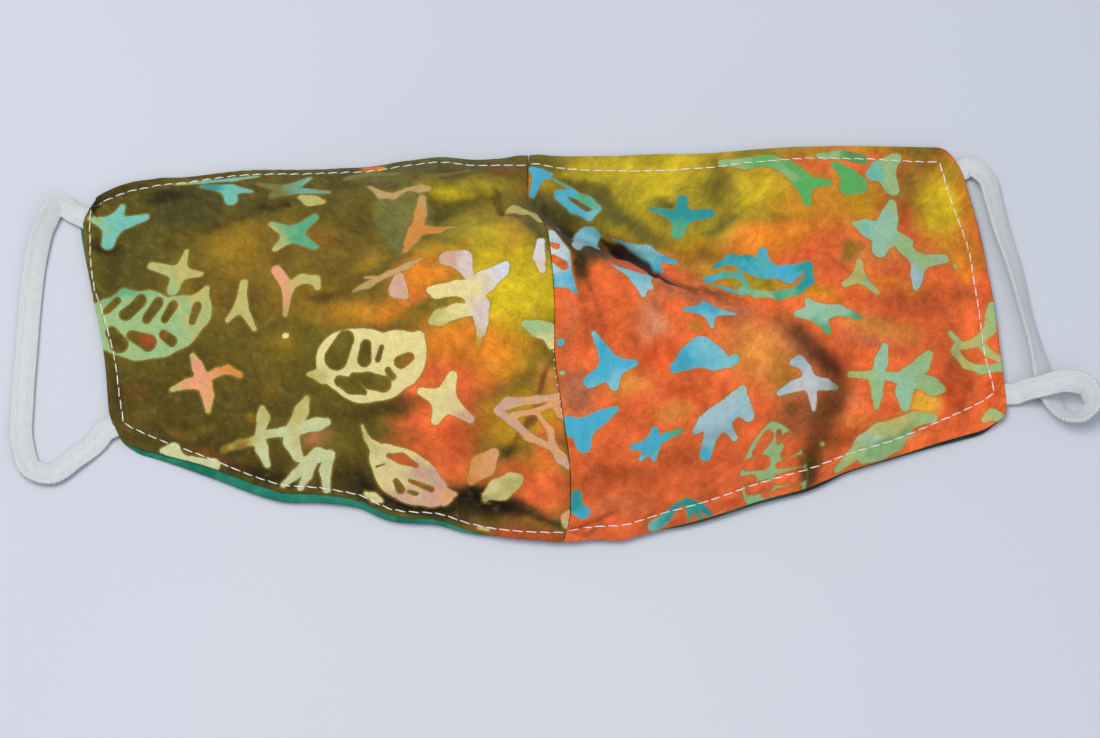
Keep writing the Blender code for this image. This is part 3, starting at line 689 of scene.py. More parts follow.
# The wax-resist print, as places (px, py, radius in millimetres). A star has its hub first and
# then the tips of its arms, and a stroke runs through its places. Holes are cut out of both.
STARS = {
    "left": (
        ("aqua", "mint", (113, 223, 2.3), (122, 207, 0.9), (144, 216, 0.9), (108, 243, 1.7), (89, 217, 0.5)),
        ("aqua", "teal", (229, 188, 1.8), (231, 199, 1.7), (251, 190, 0.5), (203, 184, 0.7)),
        ("sage", "aqua", (287, 188, 1.7), (258, 183, 0.5), (272, 193, 0.8), (310, 177, 0.7),
         (329, 190, 0.5)),
        ("sea", "straw", (292, 233, 2.2), (270, 223, 0.8), (314, 216, 1.1), (314, 244, 0.9),
         (274, 248, 0.9)),
        ("straw", "mint", (178, 272, 1.8), (150, 265, 1.0), (186, 250, 0.6), (200, 273, 0.7),
         (172, 288, 1.9)),
        ("straw", "straw", (240, 303, 1.5), (244, 281, 1.1), (227, 318, 0.7), (253, 328, 0.6)),
        ("salmon", "sand", (288, 286, 1.5), (274, 269, 1.3), (284, 313, 0.6)),
        ("amber", "amber", (417, 227, 1.8), (439, 229, 1.1), (411, 239, 2.0), (406, 249, 0.9),
         (455, 225, 0.4)),
        ("cream", "lilac", (471, 289, 2.4), (455, 286, 2.1), (484, 280, 3.0), (478, 306, 2.6)),
        ("straw", "cream", (322, 373, 1.8), (307, 374, 0.5), (322, 357, 0.4), (334, 364, 0.9)),
        ("cream", "rose", (443, 401, 2.6), (451, 376, 1.2), (421, 393, 1.0), (434, 421, 1.1),
         (469, 420, 1.0)),
        ("salmon", "peach", (203, 381, 1.7), (196, 366, 1.7), (185, 384, 1.4), (206, 396, 1.8)),
    ),
    "right": (
        ("sky", "mist", (586, 238, 2.4), (558, 227, 0.4), (592, 232, 1.0), (595, 246, 1.9), (577, 246, 1.2)),
        ("sky", "blue", (645, 256, 1.8), (611, 241, 0.4), (673, 262, 0.6), (661, 271, 0.7)),
        ("sky", "mist", (642, 278, 2.0), (612, 263, 0.3), (651, 275, 0.9), (653, 286, 0.5), (645, 294, 0.7)),
        ("blue", "sky", (708, 309, 1.6), (685, 308, 0.5), (706, 303, 0.9), (736, 313, 0.3), (712, 324, 0.6)),
        ("teal", "sea", (680, 217, 2.1), (681, 197, 1.3), (648, 206, 0.3), (708, 212, 1.7), (676, 231, 1.8)),
        ("green", "mint", (803, 180, 2.5), (829, 182, 1.2), (807, 202, 0.9), (785, 166, 1.8)),
        ("mint", "aqua", (884, 168, 3.0), (897, 156, 1.6), (892, 187, 2.3), (872, 174, 1.9)),
        ("frost", "mint", (884, 233, 3.2), (892, 215, 2.5), (869, 227, 2.9), (879, 249, 1.9),
         (909, 241, 1.4)),
        ("mint", "mist", (919, 259, 2.0), (905, 247, 2.3), (946, 257, 1.2), (918, 276, 1.9)),
        ("straw", "mint", (861, 274, 1.5), (860, 260, 0.9), (845, 282, 0.8), (868, 283, 1.1)),
        ("frost", "sea", (818, 312, 2.0), (807, 300, 0.9), (795, 315, 0.9), (840, 309, 1.4),
         (829, 332, 0.8)),
        ("blue", "sky", (610, 366, 2.4), (602, 345, 1.2), (633, 362, 0.8), (592, 381, 1.6), (615, 384, 1.2)),
        ("blue", "blue", (584, 430, 2.4), (568, 428, 2.4), (602, 417, 1.8), (584, 447, 1.9)),
        ("blue", "sky", (653, 446, 1.5), (656, 432, 0.9), (635, 448, 0.8), (643, 460, 0.5), (656, 460, 0.7)),
        ("mist", "sky", (719, 420, 2.8), (740, 402, 3.0), (705, 422, 2.0), (711, 440, 1.7), (728, 429, 1.2)),
        ("white", "lilac", (812, 382, 1.7), (809, 368, 1.6), (796, 387, 1.5), (828, 384, 1.6),
         (814, 397, 1.2)),
        ("blue", "sea", (541, 171, 1.5), (532, 167, 1.2), (535, 195, 0.8), (551, 173, 0.7)),
    ),
}
STROKES = {
    "left": (
        ("mint", "aqua", (176, 183, 0.5), (203, 180, 0.7), (232, 178, 0.7), (257, 175, 0.5)),
        ("straw", "straw", (302, 195, 1.0), (312, 199, 2.0), (322, 200, 1.1)),
        ("straw", "straw", (288, 286, 1.4), (302, 277, 1.2), (315, 279, 1.1), (318, 285, 0.8)),
        ("cream", "cream", (284, 335, 0.7), (284, 336, 0.7)),
        ("mint", "mint", (110, 322, 7.0), (125, 323, 8.4), (142, 324, 9.2), (160, 326, 8.0)),
        ("mint", "straw", (160, 326, 8.0), (178, 321, 6.9), (196, 310, 4.6), (205, 288, 0.9)),
        ("sea", "sea", (106, 303, 0.8), (124, 290, 0.9), (146, 294, 0.8), (160, 312, 0.4)),
        ("green", "sea", (176, 298, 0.8), (181, 304, 1.0)),
        ("sand", "sand", (368, 185, 0.4), (381, 193, 1.1), (392, 194, 0.8), (408, 188, 0.6)),
        ("sand", "sand", (408, 188, 0.6), (420, 187, 1.2), (429, 187, 0.7)),
        ("bronze", "bronze", (421, 176, 0.6), (431, 175, 0.9), (445, 173, 0.5), (466, 170, 0.3)),
        ("sage", "sage", (345, 177, 0.7), (366, 173, 1.0), (396, 172, 0.5)),
        ("coral", "orange", (366, 167, 0.7), (382, 167, 0.8)),
        ("amber", "sand", (417, 227, 1.8), (421, 211, 1.4), (424, 197, 1.0)),
        ("sand", "sand", (351, 290, 0.4), (369, 282, 0.9), (389, 272, 0.7), (406, 264, 0.9),
         (421, 257, 0.4)),
        ("sand", "sand", (364, 276, 0.3), (381, 276, 0.6)),
        ("rose", "rose", (397, 276, 1.4), (397, 287, 2.2), (404, 295, 0.8)),
        ("lilac", "rose", (468, 272, 1.3), (461, 258, 2.5), (446, 257, 2.2)),
        ("lilac", "white", (484, 280, 3.0), (500, 269, 1.6), (504, 263, 0.8)),
        ("cream", "cream", (456, 286, 2.1), (437, 289, 1.6), (430, 288, 0.8)),
        ("cream", "straw", (470, 308, 1.6), (456, 311, 1.7), (439, 316, 1.9), (432, 319, 1.0)),
        ("lilac", "lilac", (478, 305, 2.6), (481, 321, 1.5), (480, 331, 1.0)),
        ("cream", "cream", (335, 360, 4.6), (344, 361, 7.6), (360, 364, 9.2), (378, 366, 8.5)),
        ("cream", "cream", (378, 366, 8.5), (396, 360, 7.2), (411, 347, 3.6), (418, 337, 1.3)),
        ("straw", "cream", (360, 426, 0.4), (366, 439, 0.6), (375, 451, 1.6), (384, 461, 4.4)),
        ("cream", "rose", (384, 461, 4.4), (398, 472, 6.6), (414, 482, 6.2), (430, 492, 4.2)),
        ("rose", "peach", (430, 492, 4.2), (443, 498, 2.2), (454, 496, 0.5)),
        ("amber", "peach", (471, 481, 1.2), (481, 467, 3.0), (493, 453, 1.3)),
        ("cream", "straw", (485, 497, 1.2), (499, 491, 2.9), (512, 482, 2.2), (518, 479, 0.8)),
        ("rose", "peach", (495, 411, 0.8), (508, 406, 1.3), (535, 400, 0.8), (562, 398, 0.8)),
        ("rose", "peach", (497, 412, 0.9), (512, 422, 1.0), (530, 437, 0.9), (551, 449, 0.8)),
        ("peach", "peach", (512, 416, 0.8), (535, 414, 0.6), (556, 404, 0.7), (562, 415, 1.0)),
        ("peach", "rose", (538, 415, 0.5), (548, 430, 0.7), (552, 448, 0.8), (561, 459, 1.2),
         (570, 467, 0.6)),
        ("white", "lilac", (541, 240, 1.0), (539, 255, 1.3), (542, 270, 0.8)),
        ("straw", "straw", (506, 211, 1.2), (520, 209, 1.9), (533, 212, 1.8), (541, 220, 0.7)),
        ("mint", "cream", (524, 323, 1.0), (536, 328, 1.9), (549, 332, 1.9), (553, 345, 1.0)),
        ("straw", "gold", (478, 330, 0.8), (476, 345, 0.5)),
        ("cream", "peach", (563, 527, 0.8), (567, 519, 1.3), (570, 513, 0.5)),
        ("cream", "cream", (366, 495, 0.6), (373, 499, 1.1), (379, 502, 0.6)),
        ("straw", "straw", (478, 527, 0.5), (486, 529, 0.5)),
        ("salmon", "straw", (196, 366, 1.7), (191, 356, 0.8)),
        ("peach", "straw", (185, 384, 1.4), (170, 389, 0.6)),
        ("peach", "amber", (204, 379, 1.3), (216, 372, 0.9), (227, 369, 0.9), (239, 373, 0.8)),
        ("peach", "straw", (206, 396, 1.8), (207, 410, 0.7)),
        ("bronze", "straw", (222, 448, 0.6), (238, 444, 0.8), (252, 441, 0.9), (266, 435, 1.1)),
        ("pale", "pale", (266, 435, 1.1), (282, 433, 1.0), (299, 430, 1.5), (316, 426, 1.5),
         (325, 423, 1.0)),
        ("straw", "pale", (261, 409, 0.8), (261, 419, 1.6), (258, 433, 1.1), (260, 449, 1.5),
         (267, 466, 0.9)),
        ("straw", "pale", (304, 400, 0.8), (301, 413, 1.7), (292, 429, 1.5), (290, 444, 1.9),
         (296, 458, 1.4)),
        ("pale", "pale", (330, 457, 1.2), (318, 455, 1.7), (306, 464, 1.4), (295, 476, 1.0),
         (283, 487, 0.7)),
        ("pale", "pale", (314, 460, 1.4), (307, 476, 1.0), (302, 490, 0.8)),
        ("pale", "pale", (329, 456, 1.3), (325, 471, 1.3), (328, 490, 1.0)),
        ("pale", "pale", (161, 449, 0.7), (171, 450, 1.6), (179, 459, 1.0), (191, 463, 0.8),
         (212, 465, 1.5)),
    ),
    "right": (
        ("blue", "blue", (541, 171, 1.7), (550, 175, 0.9)),
        ("blue", "sky", (557, 195, 1.2), (573, 208, 0.9), (588, 218, 0.8), (597, 209, 1.0)),
        ("blue", "sea", (556, 192, 0.9), (570, 190, 0.9), (587, 198, 1.1), (597, 209, 1.0)),
        ("sea", "blue", (555, 179, 0.35), (575, 190, 0.35)),
        ("white", "mist", (551, 229, 1.0), (553, 240, 2.2), (557, 252, 2.9), (561, 265, 2.8)),
        ("mist", "blue", (561, 265, 2.8), (568, 279, 1.7), (578, 292, 0.5)),
        ("blue", "sky", (554, 281, 1.4), (567, 282, 1.2)),
        ("teal", "blue", (713, 266, 0.5), (730, 260, 1.1), (748, 262, 2.1), (762, 267, 2.6),
         (775, 270, 1.8)),
        ("blue", "teal", (775, 270, 1.8), (790, 268, 1.2), (807, 264, 1.0), (809, 278, 1.2),
         (797, 289, 1.2)),
        ("sea", "mint", (797, 289, 1.2), (778, 294, 1.1), (757, 292, 0.9), (741, 288, 0.7)),
        ("sea", "blue", (762, 267, 2.4), (763, 249, 1.1)),
        ("blue", "blue", (775, 270, 1.5), (788, 276, 1.3), (800, 272, 0.7)),
        ("blue", "sea", (706, 278, 0.9), (724, 273, 0.7), (738, 276, 0.6), (751, 291, 0.6)),
        ("sea", "blue", (708, 281, 0.5), (725, 287, 0.4), (745, 292, 0.6)),
        ("mint", "green", (724, 160, 1.5), (745, 163, 2.6), (765, 160, 2.8), (785, 163, 2.6),
         (802, 174, 2.2)),
        ("green", "green", (838, 164, 1.6), (848, 172, 2.4), (856, 181, 3.3), (847, 187, 2.0)),
        ("mint", "leaf", (822, 155, 1.4), (842, 152, 2.0), (862, 158, 2.0)),
        ("frost", "mint", (892, 215, 2.5), (893, 202, 1.2)),
        ("aqua", "mint", (869, 227, 2.9), (855, 222, 0.8)),
        ("mist", "frost", (918, 276, 1.9), (918, 287, 0.9)),
        ("mint", "straw", (868, 283, 1.1), (878, 290, 0.7)),
        ("frost", "sea", (840, 309, 1.4), (861, 315, 0.6)),
        ("straw", "straw", (956, 265, 0.6), (956, 266, 0.6)),
        ("mint", "straw", (996, 305, 1.4), (993, 315, 1.4), (989, 328, 1.3), (978, 340, 1.2),
         (963, 345, 1.0)),
        ("straw", "mint", (963, 345, 1.0), (951, 332, 0.7)),
        ("straw", "mint", (958, 344, 1.0), (957, 352, 1.0), (966, 362, 0.9), (982, 367, 1.0),
         (1001, 366, 1.2)),
        ("mint", "straw", (979, 341, 1.0), (987, 352, 0.9), (999, 358, 1.0)),
        ("blue", "blue", (559, 341, 0.9), (560, 341, 0.9)),
        ("mint", "mint", (561, 374, 0.5), (562, 374, 0.5)),
        ("blue", "sky", (602, 345, 1.2), (595, 333, 0.6)),
        ("blue", "blue", (602, 417, 1.8), (617, 411, 0.7)),
        ("blue", "sea", (655, 445, 1.2), (667, 437, 0.8), (682, 431, 0.7)),
        ("blue", "sky", (677, 367, 1.3), (690, 357, 2.6), (702, 351, 3.6), (716, 357, 2.9), (729, 363, 1.2)),
        ("sky", "aqua", (729, 363, 1.2), (737, 358, 1.2)),
        ("mist", "frost", (740, 402, 3.0), (745, 389, 1.2)),
        ("mist", "mist", (740, 402, 3.0), (748, 417, 1.6)),
        ("mist", "sky", (705, 422, 2.0), (696, 432, 0.8)),
        ("mist", "blue", (711, 440, 1.7), (706, 457, 1.4)),
        ("mist", "mist", (728, 429, 1.2), (735, 440, 0.8)),
        ("teal", "blue", (575, 496, 1.2), (575, 508, 1.6), (584, 514, 1.3), (589, 511, 0.6)),
        ("aqua", "teal", (655, 526, 1.6), (664, 521, 1.2), (677, 508, 0.6), (688, 500, 0.9)),
        ("teal", "teal", (688, 500, 0.9), (700, 506, 0.8), (711, 515, 0.8)),
        ("teal", "sea", (688, 500, 0.8), (692, 510, 0.6), (692, 519, 0.6)),
        ("teal", "sea", (690, 503, 0.5), (700, 519, 0.6)),
        ("mint", "mint", (775, 427, 1.2), (776, 440, 4.2), (776, 455, 7.0), (776, 470, 8.6),
         (777, 486, 8.4)),
        ("white", "mist", (809, 368, 1.6), (801, 361, 1.4), (793, 362, 0.8)),
        ("white", "mist", (796, 387, 1.5), (782, 393, 0.7)),
        ("white", "mint", (828, 384, 1.6), (837, 387, 0.7)),
        ("white", "white", (814, 397, 1.2), (815, 410, 0.6)),
        ("straw", "mint", (849, 373, 0.8), (870, 373, 0.9), (881, 375, 1.1)),
        ("frost", "mint", (881, 375, 1.1), (900, 377, 1.2), (914, 377, 2.3), (934, 384, 2.3),
         (943, 387, 1.1)),
        ("frost", "mint", (885, 346, 1.0), (883, 360, 1.6), (878, 379, 1.8), (877, 393, 1.2),
         (878, 407, 0.7)),
        ("mint", "frost", (930, 354, 1.1), (923, 363, 1.9), (910, 375, 2.4), (906, 391, 2.2),
         (906, 406, 1.4)),
        ("straw", "straw", (824, 445, 0.6), (824, 446, 0.5)),
        ("mint", "straw", (838, 470, 0.9), (850, 456, 1.3), (864, 443, 1.7), (880, 432, 2.0),
         (898, 424, 1.9)),
        ("straw", "mint", (898, 424, 1.9), (917, 418, 1.7), (935, 416, 1.1)),
        ("mint", "leaf", (866, 457, 2.0), (880, 450, 2.8), (896, 443, 2.0), (908, 431, 1.0),
         (916, 421, 0.8)),
        ("mist", "white", (867, 441, 1.6), (879, 437, 1.4)),
        ("straw", "mint", (985, 418, 0.9), (992, 413, 1.3), (1001, 415, 1.2)),
    ),
}
HOLES = {
    "left": (
        ((107, 309, 1.1), (117, 299, 1.2)), ((127, 313, 1.9), (138, 300, 2.1)),
        ((146, 317, 1.6), (156, 303, 1.8)), ((164, 317, 1.3), (171, 306, 1.6)),
        ((191, 321, 1.2), (196, 306, 1.5)), ((110, 331, 1.6), (119, 344, 2.4)),
        ((132, 333, 1.5), (148, 342, 2.4)), ((162, 335, 1.4), (170, 342, 1.6)),
        ((345, 339, 2.5), (335, 357, 3.2)), ((365, 343, 1.5), (362, 358, 2.0)),
        ((380, 347, 0.7), (377, 360, 0.8)), ((399, 363, 1.8), (407, 359, 1.4)),
        ((386, 371, 0.9), (391, 378, 1.0)), ((338, 380, 1.5), (350, 388, 2.1), (362, 392, 0.9)),
        ((352, 377, 1.1), (367, 381, 2.0), (381, 384, 2.2)),
        ((388, 457, 0.8), (401, 461, 1.5), (416, 467, 0.8)), ((394, 481, 0.9), (399, 489, 1.3)),
        ((409, 482, 0.6), (430, 490, 0.9)), ((408, 493, 0.6), (417, 496, 0.7)),
        ((375, 468, 0.3), (384, 465, 0.3)),
    ),
    "right": (
        ((550, 243, 0.7), (559, 246, 1.0)), ((552, 256, 1.0), (564, 265, 1.3)),
        ((759, 453, 1.3), (768, 438, 1.8)), ((781, 431, 0.9), (780, 443, 0.9)),
        ((788, 439, 1.6), (795, 448, 2.2), (787, 456, 1.5)), ((748, 466, 1.8), (764, 464, 2.2)),
        ((746, 481, 1.5), (752, 481, 1.7)), ((752, 490, 1.7), (767, 486, 1.9)),
        ((780, 467, 1.0), (802, 461, 1.6)), ((781, 481, 1.6), (802, 474, 2.0)),
        ((780, 493, 1.3), (797, 490, 1.6)), ((765, 497, 1.0), (771, 496, 1.0)),
    ),
}

# The pockets of the folds, which less light reaches, as (soft edge in mm, strength, places)
POCKETS = (
    (0.7, 0.95, (601, 242, 0.5), (618, 251, 1.8), (642, 265, 2.1), (668, 280, 1.5), (690, 289, 0.2)),
    (1.4, 0.50, (583, 256, 1.2), (587, 272, 1.0), (591, 288, 0.4)),
    (1.6, 0.40, (694, 291, 0.3), (724, 292, 0.4), (746, 300, 0.3)),
    (0.8, 0.45, (494, 196, 0.3), (501, 212, 0.5), (518, 216, 0.3)),
    (5.0, 0.36, (772, 314, 1.0), (802, 340, 2.4), (834, 370, 4.0), (838, 402, 4.4), (818, 440, 3.0),
     (812, 480, 2.4)),
    (2.0, 0.30, (778, 318, 0.4), (812, 350, 0.6), (836, 366, 0.4)),
    (3.0, 0.24, (956, 352, 1.0), (946, 380, 1.6), (962, 408, 0.8)),
    (4.0, 0.20, (842, 300, 1.0), (900, 300, 2.4), (950, 312, 1.0)),
    (2.5, 0.22, (620, 290, 0.6), (634, 330, 1.0), (640, 372, 0.5)),
    (2.0, 0.22, (594, 290, 0.5), (604, 330, 0.8), (606, 350, 0.3)),
    (3.0, 0.22, (660, 330, 0.6), (690, 372, 1.2), (680, 400, 0.6)),
    (3.0, 0.20, (640, 470, 0.8), (690, 440, 1.2), (740, 430, 0.5)),
    (1.6, 0.35, (478, 497, 0.3), (520, 512, 0.6), (563, 528, 0.4)),
    (1.6, 0.30, (573, 531, 0.4), (600, 522, 0.5), (616, 512, 0.2)),
    (1.8, 0.30, (438, 219, 0.5), (458, 212, 0.8), (480, 196, 0.5)),
    (1.4, 0.25, (300, 190, 0.3), (350, 184, 0.6), (398, 182, 0.3)),
    (2.4, 0.25, (318, 298, 0.5), (345, 294, 0.8), (372, 286, 0.3)),
    (2.0, 0.25, (150, 200, 0.5), (176, 196, 0.8), (200, 194, 0.4)),
    (1.5, 0.30, (262, 206, 0.4), (285, 209, 0.8), (292, 200, 0.4)),
)


def ease(t):
    """Rises smoothly from 0 to 1."""
    t = np.clip(t, 0.0, 1.0)
    return t * t * (3 - 2 * t)


def unit(vectors):
    """The same vectors with a length of 1."""
    return vectors / np.linalg.norm(vectors, axis=-1, keepdims=True)


def ridge(distance, height, place, width):
    """A rounded ridge, as high as height at its place."""
    return height * np.exp(-(((distance - place) / width) ** 2))


def walked(points):
    """The distance to each point along the first axis of an array of points."""
    steps = np.linalg.norm(np.diff(points, axis=0), axis=-1)
    return np.concatenate([0 * steps[:1], np.cumsum(steps, axis=0)])


def rows_of(table):
    """The rows of a table as dictionaries of its named columns."""
    return [dict(zip(table[0], row)) for row in table[1:]]


def join(t, span, first, last, first_slope, last_slope):
    """The smooth curve from one value to the next, with the given slopes at its ends."""
    near = (1 + 2 * t) * (1 - t) ** 2 * first + t * (1 - t) ** 2 * first_slope * span
    return near + t * t * (3 - 2 * t) * last - t * t * (1 - t) * last_slope * span


def read(table, column, share, level_start=False):
    """Follows one column of a table smoothly, at each share of its first column."""
    rows = np.array(table[1:], dtype=float)
    at, value = rows[:, 0], rows[:, table[0].index(column)]
    rise = np.diff(value) / np.diff(at)
    slope = np.concatenate([[rise[0]], (value[2:] - value[:-2]) / (at[2:] - at[:-2]), [rise[-1]]])
    slope[1:-1][rise[1:] * rise[:-1] <= 0] = 0.0
    if level_start:
        slope[0] = 0.0
    i = np.clip(np.searchsorted(at, share, side="right") - 1, 0, len(at) - 2)
    span = at[i + 1] - at[i]
    return join((share - at[i]) / span, span, value[i], value[i + 1], slope[i], slope[i + 1])


def ripple(x, y, size, seed):
    """Smooth hills and hollows between -1 and 1, each about as wide as size."""
    lattice = np.random.default_rng(seed).uniform(-1, 1, (LATTICE, LATTICE))
    u, v = x / size + seed, y / size
    i, j = np.floor(u).astype(int), np.floor(v).astype(int)
    s, t = ease(u - i), ease(v - j)
    i, j, right, above = i % LATTICE, j % LATTICE, (i + 1) % LATTICE, (j + 1) % LATTICE
    low = lattice[i, j] * (1 - s) + lattice[right, j] * s
    high = lattice[i, above] * (1 - s) + lattice[right, above] * s
    return low * (1 - t) + high * t


def ripples(x, y, rows, seed):
    """The sum of several ripples, each of a row's height and size."""
    return sum(height * ripple(x, y, size, seed + k) for k, (height, size) in enumerate(rows))


def photo_pixel(points):
    """The pixel of the photograph at which each point shows."""
    away = points - CAMERA_PLACE
    scale = FOCAL_LENGTH / SENSOR_WIDTH * PHOTO_WIDE / -(away @ CAMERA_BACK)
    return PHOTO_WIDE / 2 + scale * away[..., 0], PHOTO_TALL / 2 - scale * (away @ CAMERA_UP)


class Half:
    """The plan and the height of one half of the mask, from the seam (0) to the ear edge (1)."""

    def __init__(self, name):
        self.name = name
        self.side = -1 if name == "left" else 1
        top, bottom, rise, lift = EAR_SIZES[name]
        self.reach = max(top, bottom)
        self.ear_top = np.array([self.side * top, lift + rise / 2])
        self.ear_bottom = np.array([self.side * bottom, lift - rise / 2])

    def seam(self, up):
        sway = SEAM_SWAY * read(SEAM, "sway", up)
        return np.stack([sway, SEAM_RISE * (up - 0.5) + 0 * sway], axis=-1)

    def ear(self, up):
        bow = self.side * EDGE_BOW * read(EAR_EDGE[self.name], "bow", up)
        straight = self.ear_bottom + (self.ear_top - self.ear_bottom) * np.asarray(up)[..., None]
        return straight + np.stack([bow, 0 * bow], axis=-1)

    def hem(self, table, start, end, along):
        bow = EDGE_BOW * read(table[self.name], "bow", along)
        return start + (end - start) * along[..., None] + np.stack([0 * bow, bow], axis=-1)

    def plan(self, along, up):
        """A point of the half in plan, blended between its four edges."""
        foot, head = self.seam(np.array(0.0)), self.seam(np.array(1.0))
        a, u = along[..., None], up[..., None]
        across = (1 - a) * self.seam(up) + a * self.ear(up)
        bottom = self.hem(BOTTOM_HEM, foot, self.ear_bottom, along)
        top = self.hem(TOP_HEM, head, self.ear_top, along)
        corners = (1 - u) * ((1 - a) * foot + a * self.ear_bottom)
        corners = corners + u * ((1 - a) * head + a * self.ear_top)
        return across + (1 - u) * bottom + u * top - corners

    def height(self, along, up, point):
        """The height of the cloth over its hem: the cross-section here, and the folds."""
        crest, crest_at, belly, foot, foot_at, hem = (
            read(SECTIONS[self.name], column, along, level_start=True)
            for column in SECTIONS[self.name][0][1:]
        )
        crest = crest * CROWN_HEIGHT
        foot = foot * crest
        lower = crest * (1 - np.clip(1 - up / crest_at, 0, 1) ** belly)
        fall = crest + (foot - crest) * ease((up - crest_at) / (foot_at - crest_at))
        upper = foot * (1 - np.clip((up - foot_at) / (1 - foot_at), 0, 1) ** hem)
        rise = np.where(up < crest_at, lower, np.where(up < foot_at, fall, upper))
        inside = np.minimum(up, 1 - up) * SEAM_RISE / HEM_FADE
        flat = ease((FLAT_FROM - along) / FLAT_FADE)
        return np.maximum(0.0, rise + folds_at(point) * ease(inside) * flat)


def folds_at(point):
    """The height that the soft folds add at each point in plan."""
    total = 0.0
    for fold in rows_of(FOLDS):
        reach = LEFT_TOP_REACH if fold["from_x"] + fold["to_x"] < 0 else RIGHT_BOTTOM_REACH
        start = np.array([fold["from_x"] * reach, fold["from_y"] * SEAM_RISE])
        run = np.array([fold["to_x"] * reach, fold["to_y"] * SEAM_RISE]) - start
        t = np.clip((point - start) @ run / (run @ run), 0, 1)
        away = np.linalg.norm(point - start - t[..., None] * run, axis=-1)
        total = total + ridge(away, fold["height"] * FOLD_HEIGHT, 0, fold["width"] * FOLD_WIDTH)
    return total


def crease_at(crease, px, py, height, width):
    """A ridge of this height and width along one crease, at each pixel of the photograph."""
    run_x = crease["to_px"] - crease["from_px"]
    run_y = crease["to_py"] - crease["from_py"]
    x, y = px - crease["from_px"], py - crease["from_py"]
    t = np.clip((x * run_x + y * run_y) / (run_x**2 + run_y**2), 0, 1)
    away = np.hypot(x - t * run_x, y - t * run_y) / PHOTO_SCALE * 1e3
    return ridge(away, height, 0, width)


class Cloth:
    """One half's cloth as a dense grid of points, evenly spaced along each cross-section."""

    def __init__(self, half, columns, rows, seam_inset, hem_inset):
        self.half, self.columns, self.rows = half, columns, rows
        self.hem_inset = hem_inset
        self.along = np.linspace(seam_inset / half.reach, 1 - hem_inset / half.reach, columns + 1)
        ups = np.linspace(0, 1, SECTION_STEPS + 1)
        along, up = np.meshgrid(self.along, ups, indexing="ij")
        flat = half.plan(along, up)
        high = LINING_THICKNESS + LAYER_GAP + half.height(along, up, flat)
        line = np.concatenate([flat, high[..., None]], axis=-1)
        length = walked(line.transpose(1, 0, 2)).T
        self.base = np.empty((columns + 1, rows + 1, 3))
        self.up = np.empty((columns + 1, rows + 1))
        self.from_bottom = np.empty((columns + 1, rows + 1))
        for i in range(columns + 1):
            even = np.linspace(hem_inset, length[i, -1] - hem_inset, rows + 1)
            self.from_bottom[i] = even
            self.up[i] = np.interp(even, length[i], ups)
            for k in range(3):
                self.base[i, :, k] = np.interp(even, length[i], line[i, :, k])
        self.from_top = length[:, -1:] - self.from_bottom
        self.base[..., 0] += half.side * SEAM_GAP / 2 * ease(1 - along[:, :1] * SEAM_GAP_FADE)
        across = walked(self.base)
        self.from_seam = across + seam_inset
        self.from_ear = across[-1] - across + hem_inset
        self.base[..., :2] += SHIFT
        self.normal = normals_of(self.base, half.side)

    def stitch_insets(self):
        """How far inside the bottom hem, the ear edge and the top hem the stitching runs."""
        inset = STITCH_INSET[self.half.name]
        bottom = read(inset["bottom"], "inset", self.along)[:, None] * 1e-3
        top = read(inset["top"], "inset", self.along)[:, None] * 1e-3
        ear = read(inset["ear"], "inset", self.up) * 1e-3
        return bottom, ear, top

    def relief(self):
        """The small relief over the base: creases, stitching grooves, seam puckers and ripples."""
        px, py = photo_pixel(self.base)
        x, y = self.base[..., 0], self.base[..., 1]
        inside = np.minimum(np.minimum(self.from_bottom, self.from_top), self.from_ear)
        total = 0.0
        for crease in rows_of(CREASES):
            total = total + 1e-3 * crease_at(crease, px, py, crease["height"], crease["width"])
        total = total * ease(inside / CREASE_FADE)
        for row in rows_of(WAVES):
            slant = row["slant"]
            wave = row["height"] * ripple(x + 0.4 * slant * y, y - 0.3 * slant * x, row["size"], row["seed"])
            total += wave * (ease(inside / row["fade"]) if row["fade"] else 1.0)
        bottom, ear, top = self.stitch_insets()
        lines = [self.from_bottom - bottom, self.from_ear - ear, self.from_top - top]
        held = np.minimum.reduce(lines)
        run = np.where(np.abs(lines[1]) < np.abs(np.minimum(lines[0], lines[2])), y, x)
        pucker = 1 + 0.5 * np.sin(run * math.tau / (STITCH_LENGTH + STITCH_GAP))
        total += (ridge(held, *STITCH_GROOVE) + ridge(held, *HEM_RIDGE)) * pucker
        wave = np.sin(y * math.tau / SEAM_PUCKER_PITCH + SEAM_WANDER * ripple(y, y, SEAM_WANDER_SIZE, 7))
        return total + ridge(self.from_seam, *SEAM_PUCKER) * wave + ridge(self.from_seam, *SEAM_RIDGE)


def normals_of(grid, side):
    """The upward normals of a grid of points."""
    return unit(np.cross(np.gradient(grid, axis=0), np.gradient(grid, axis=1)) * side)


def outward(edge, side):
    """The ways out of the cloth along one of its edges, in plan and not yet of length 1."""
    run = np.gradient(edge[:, :2], axis=0)
    return np.stack([run[:, 1], -run[:, 0]], axis=1) * side


def border_of(columns, rows):
    """The indices round a grid's border: bottom hem, ear edge, top hem and seam."""
    bottom = [(i, 0) for i in range(columns + 1)]
    ear = [(columns, j) for j in range(1, rows + 1)]
    top = [(i, rows) for i in range(columns - 1, -1, -1)]
    seam = [(0, j) for j in range(rows - 1, 0, -1)]
    return np.array(bottom + ear + top + seam).T, len(bottom + ear + top)


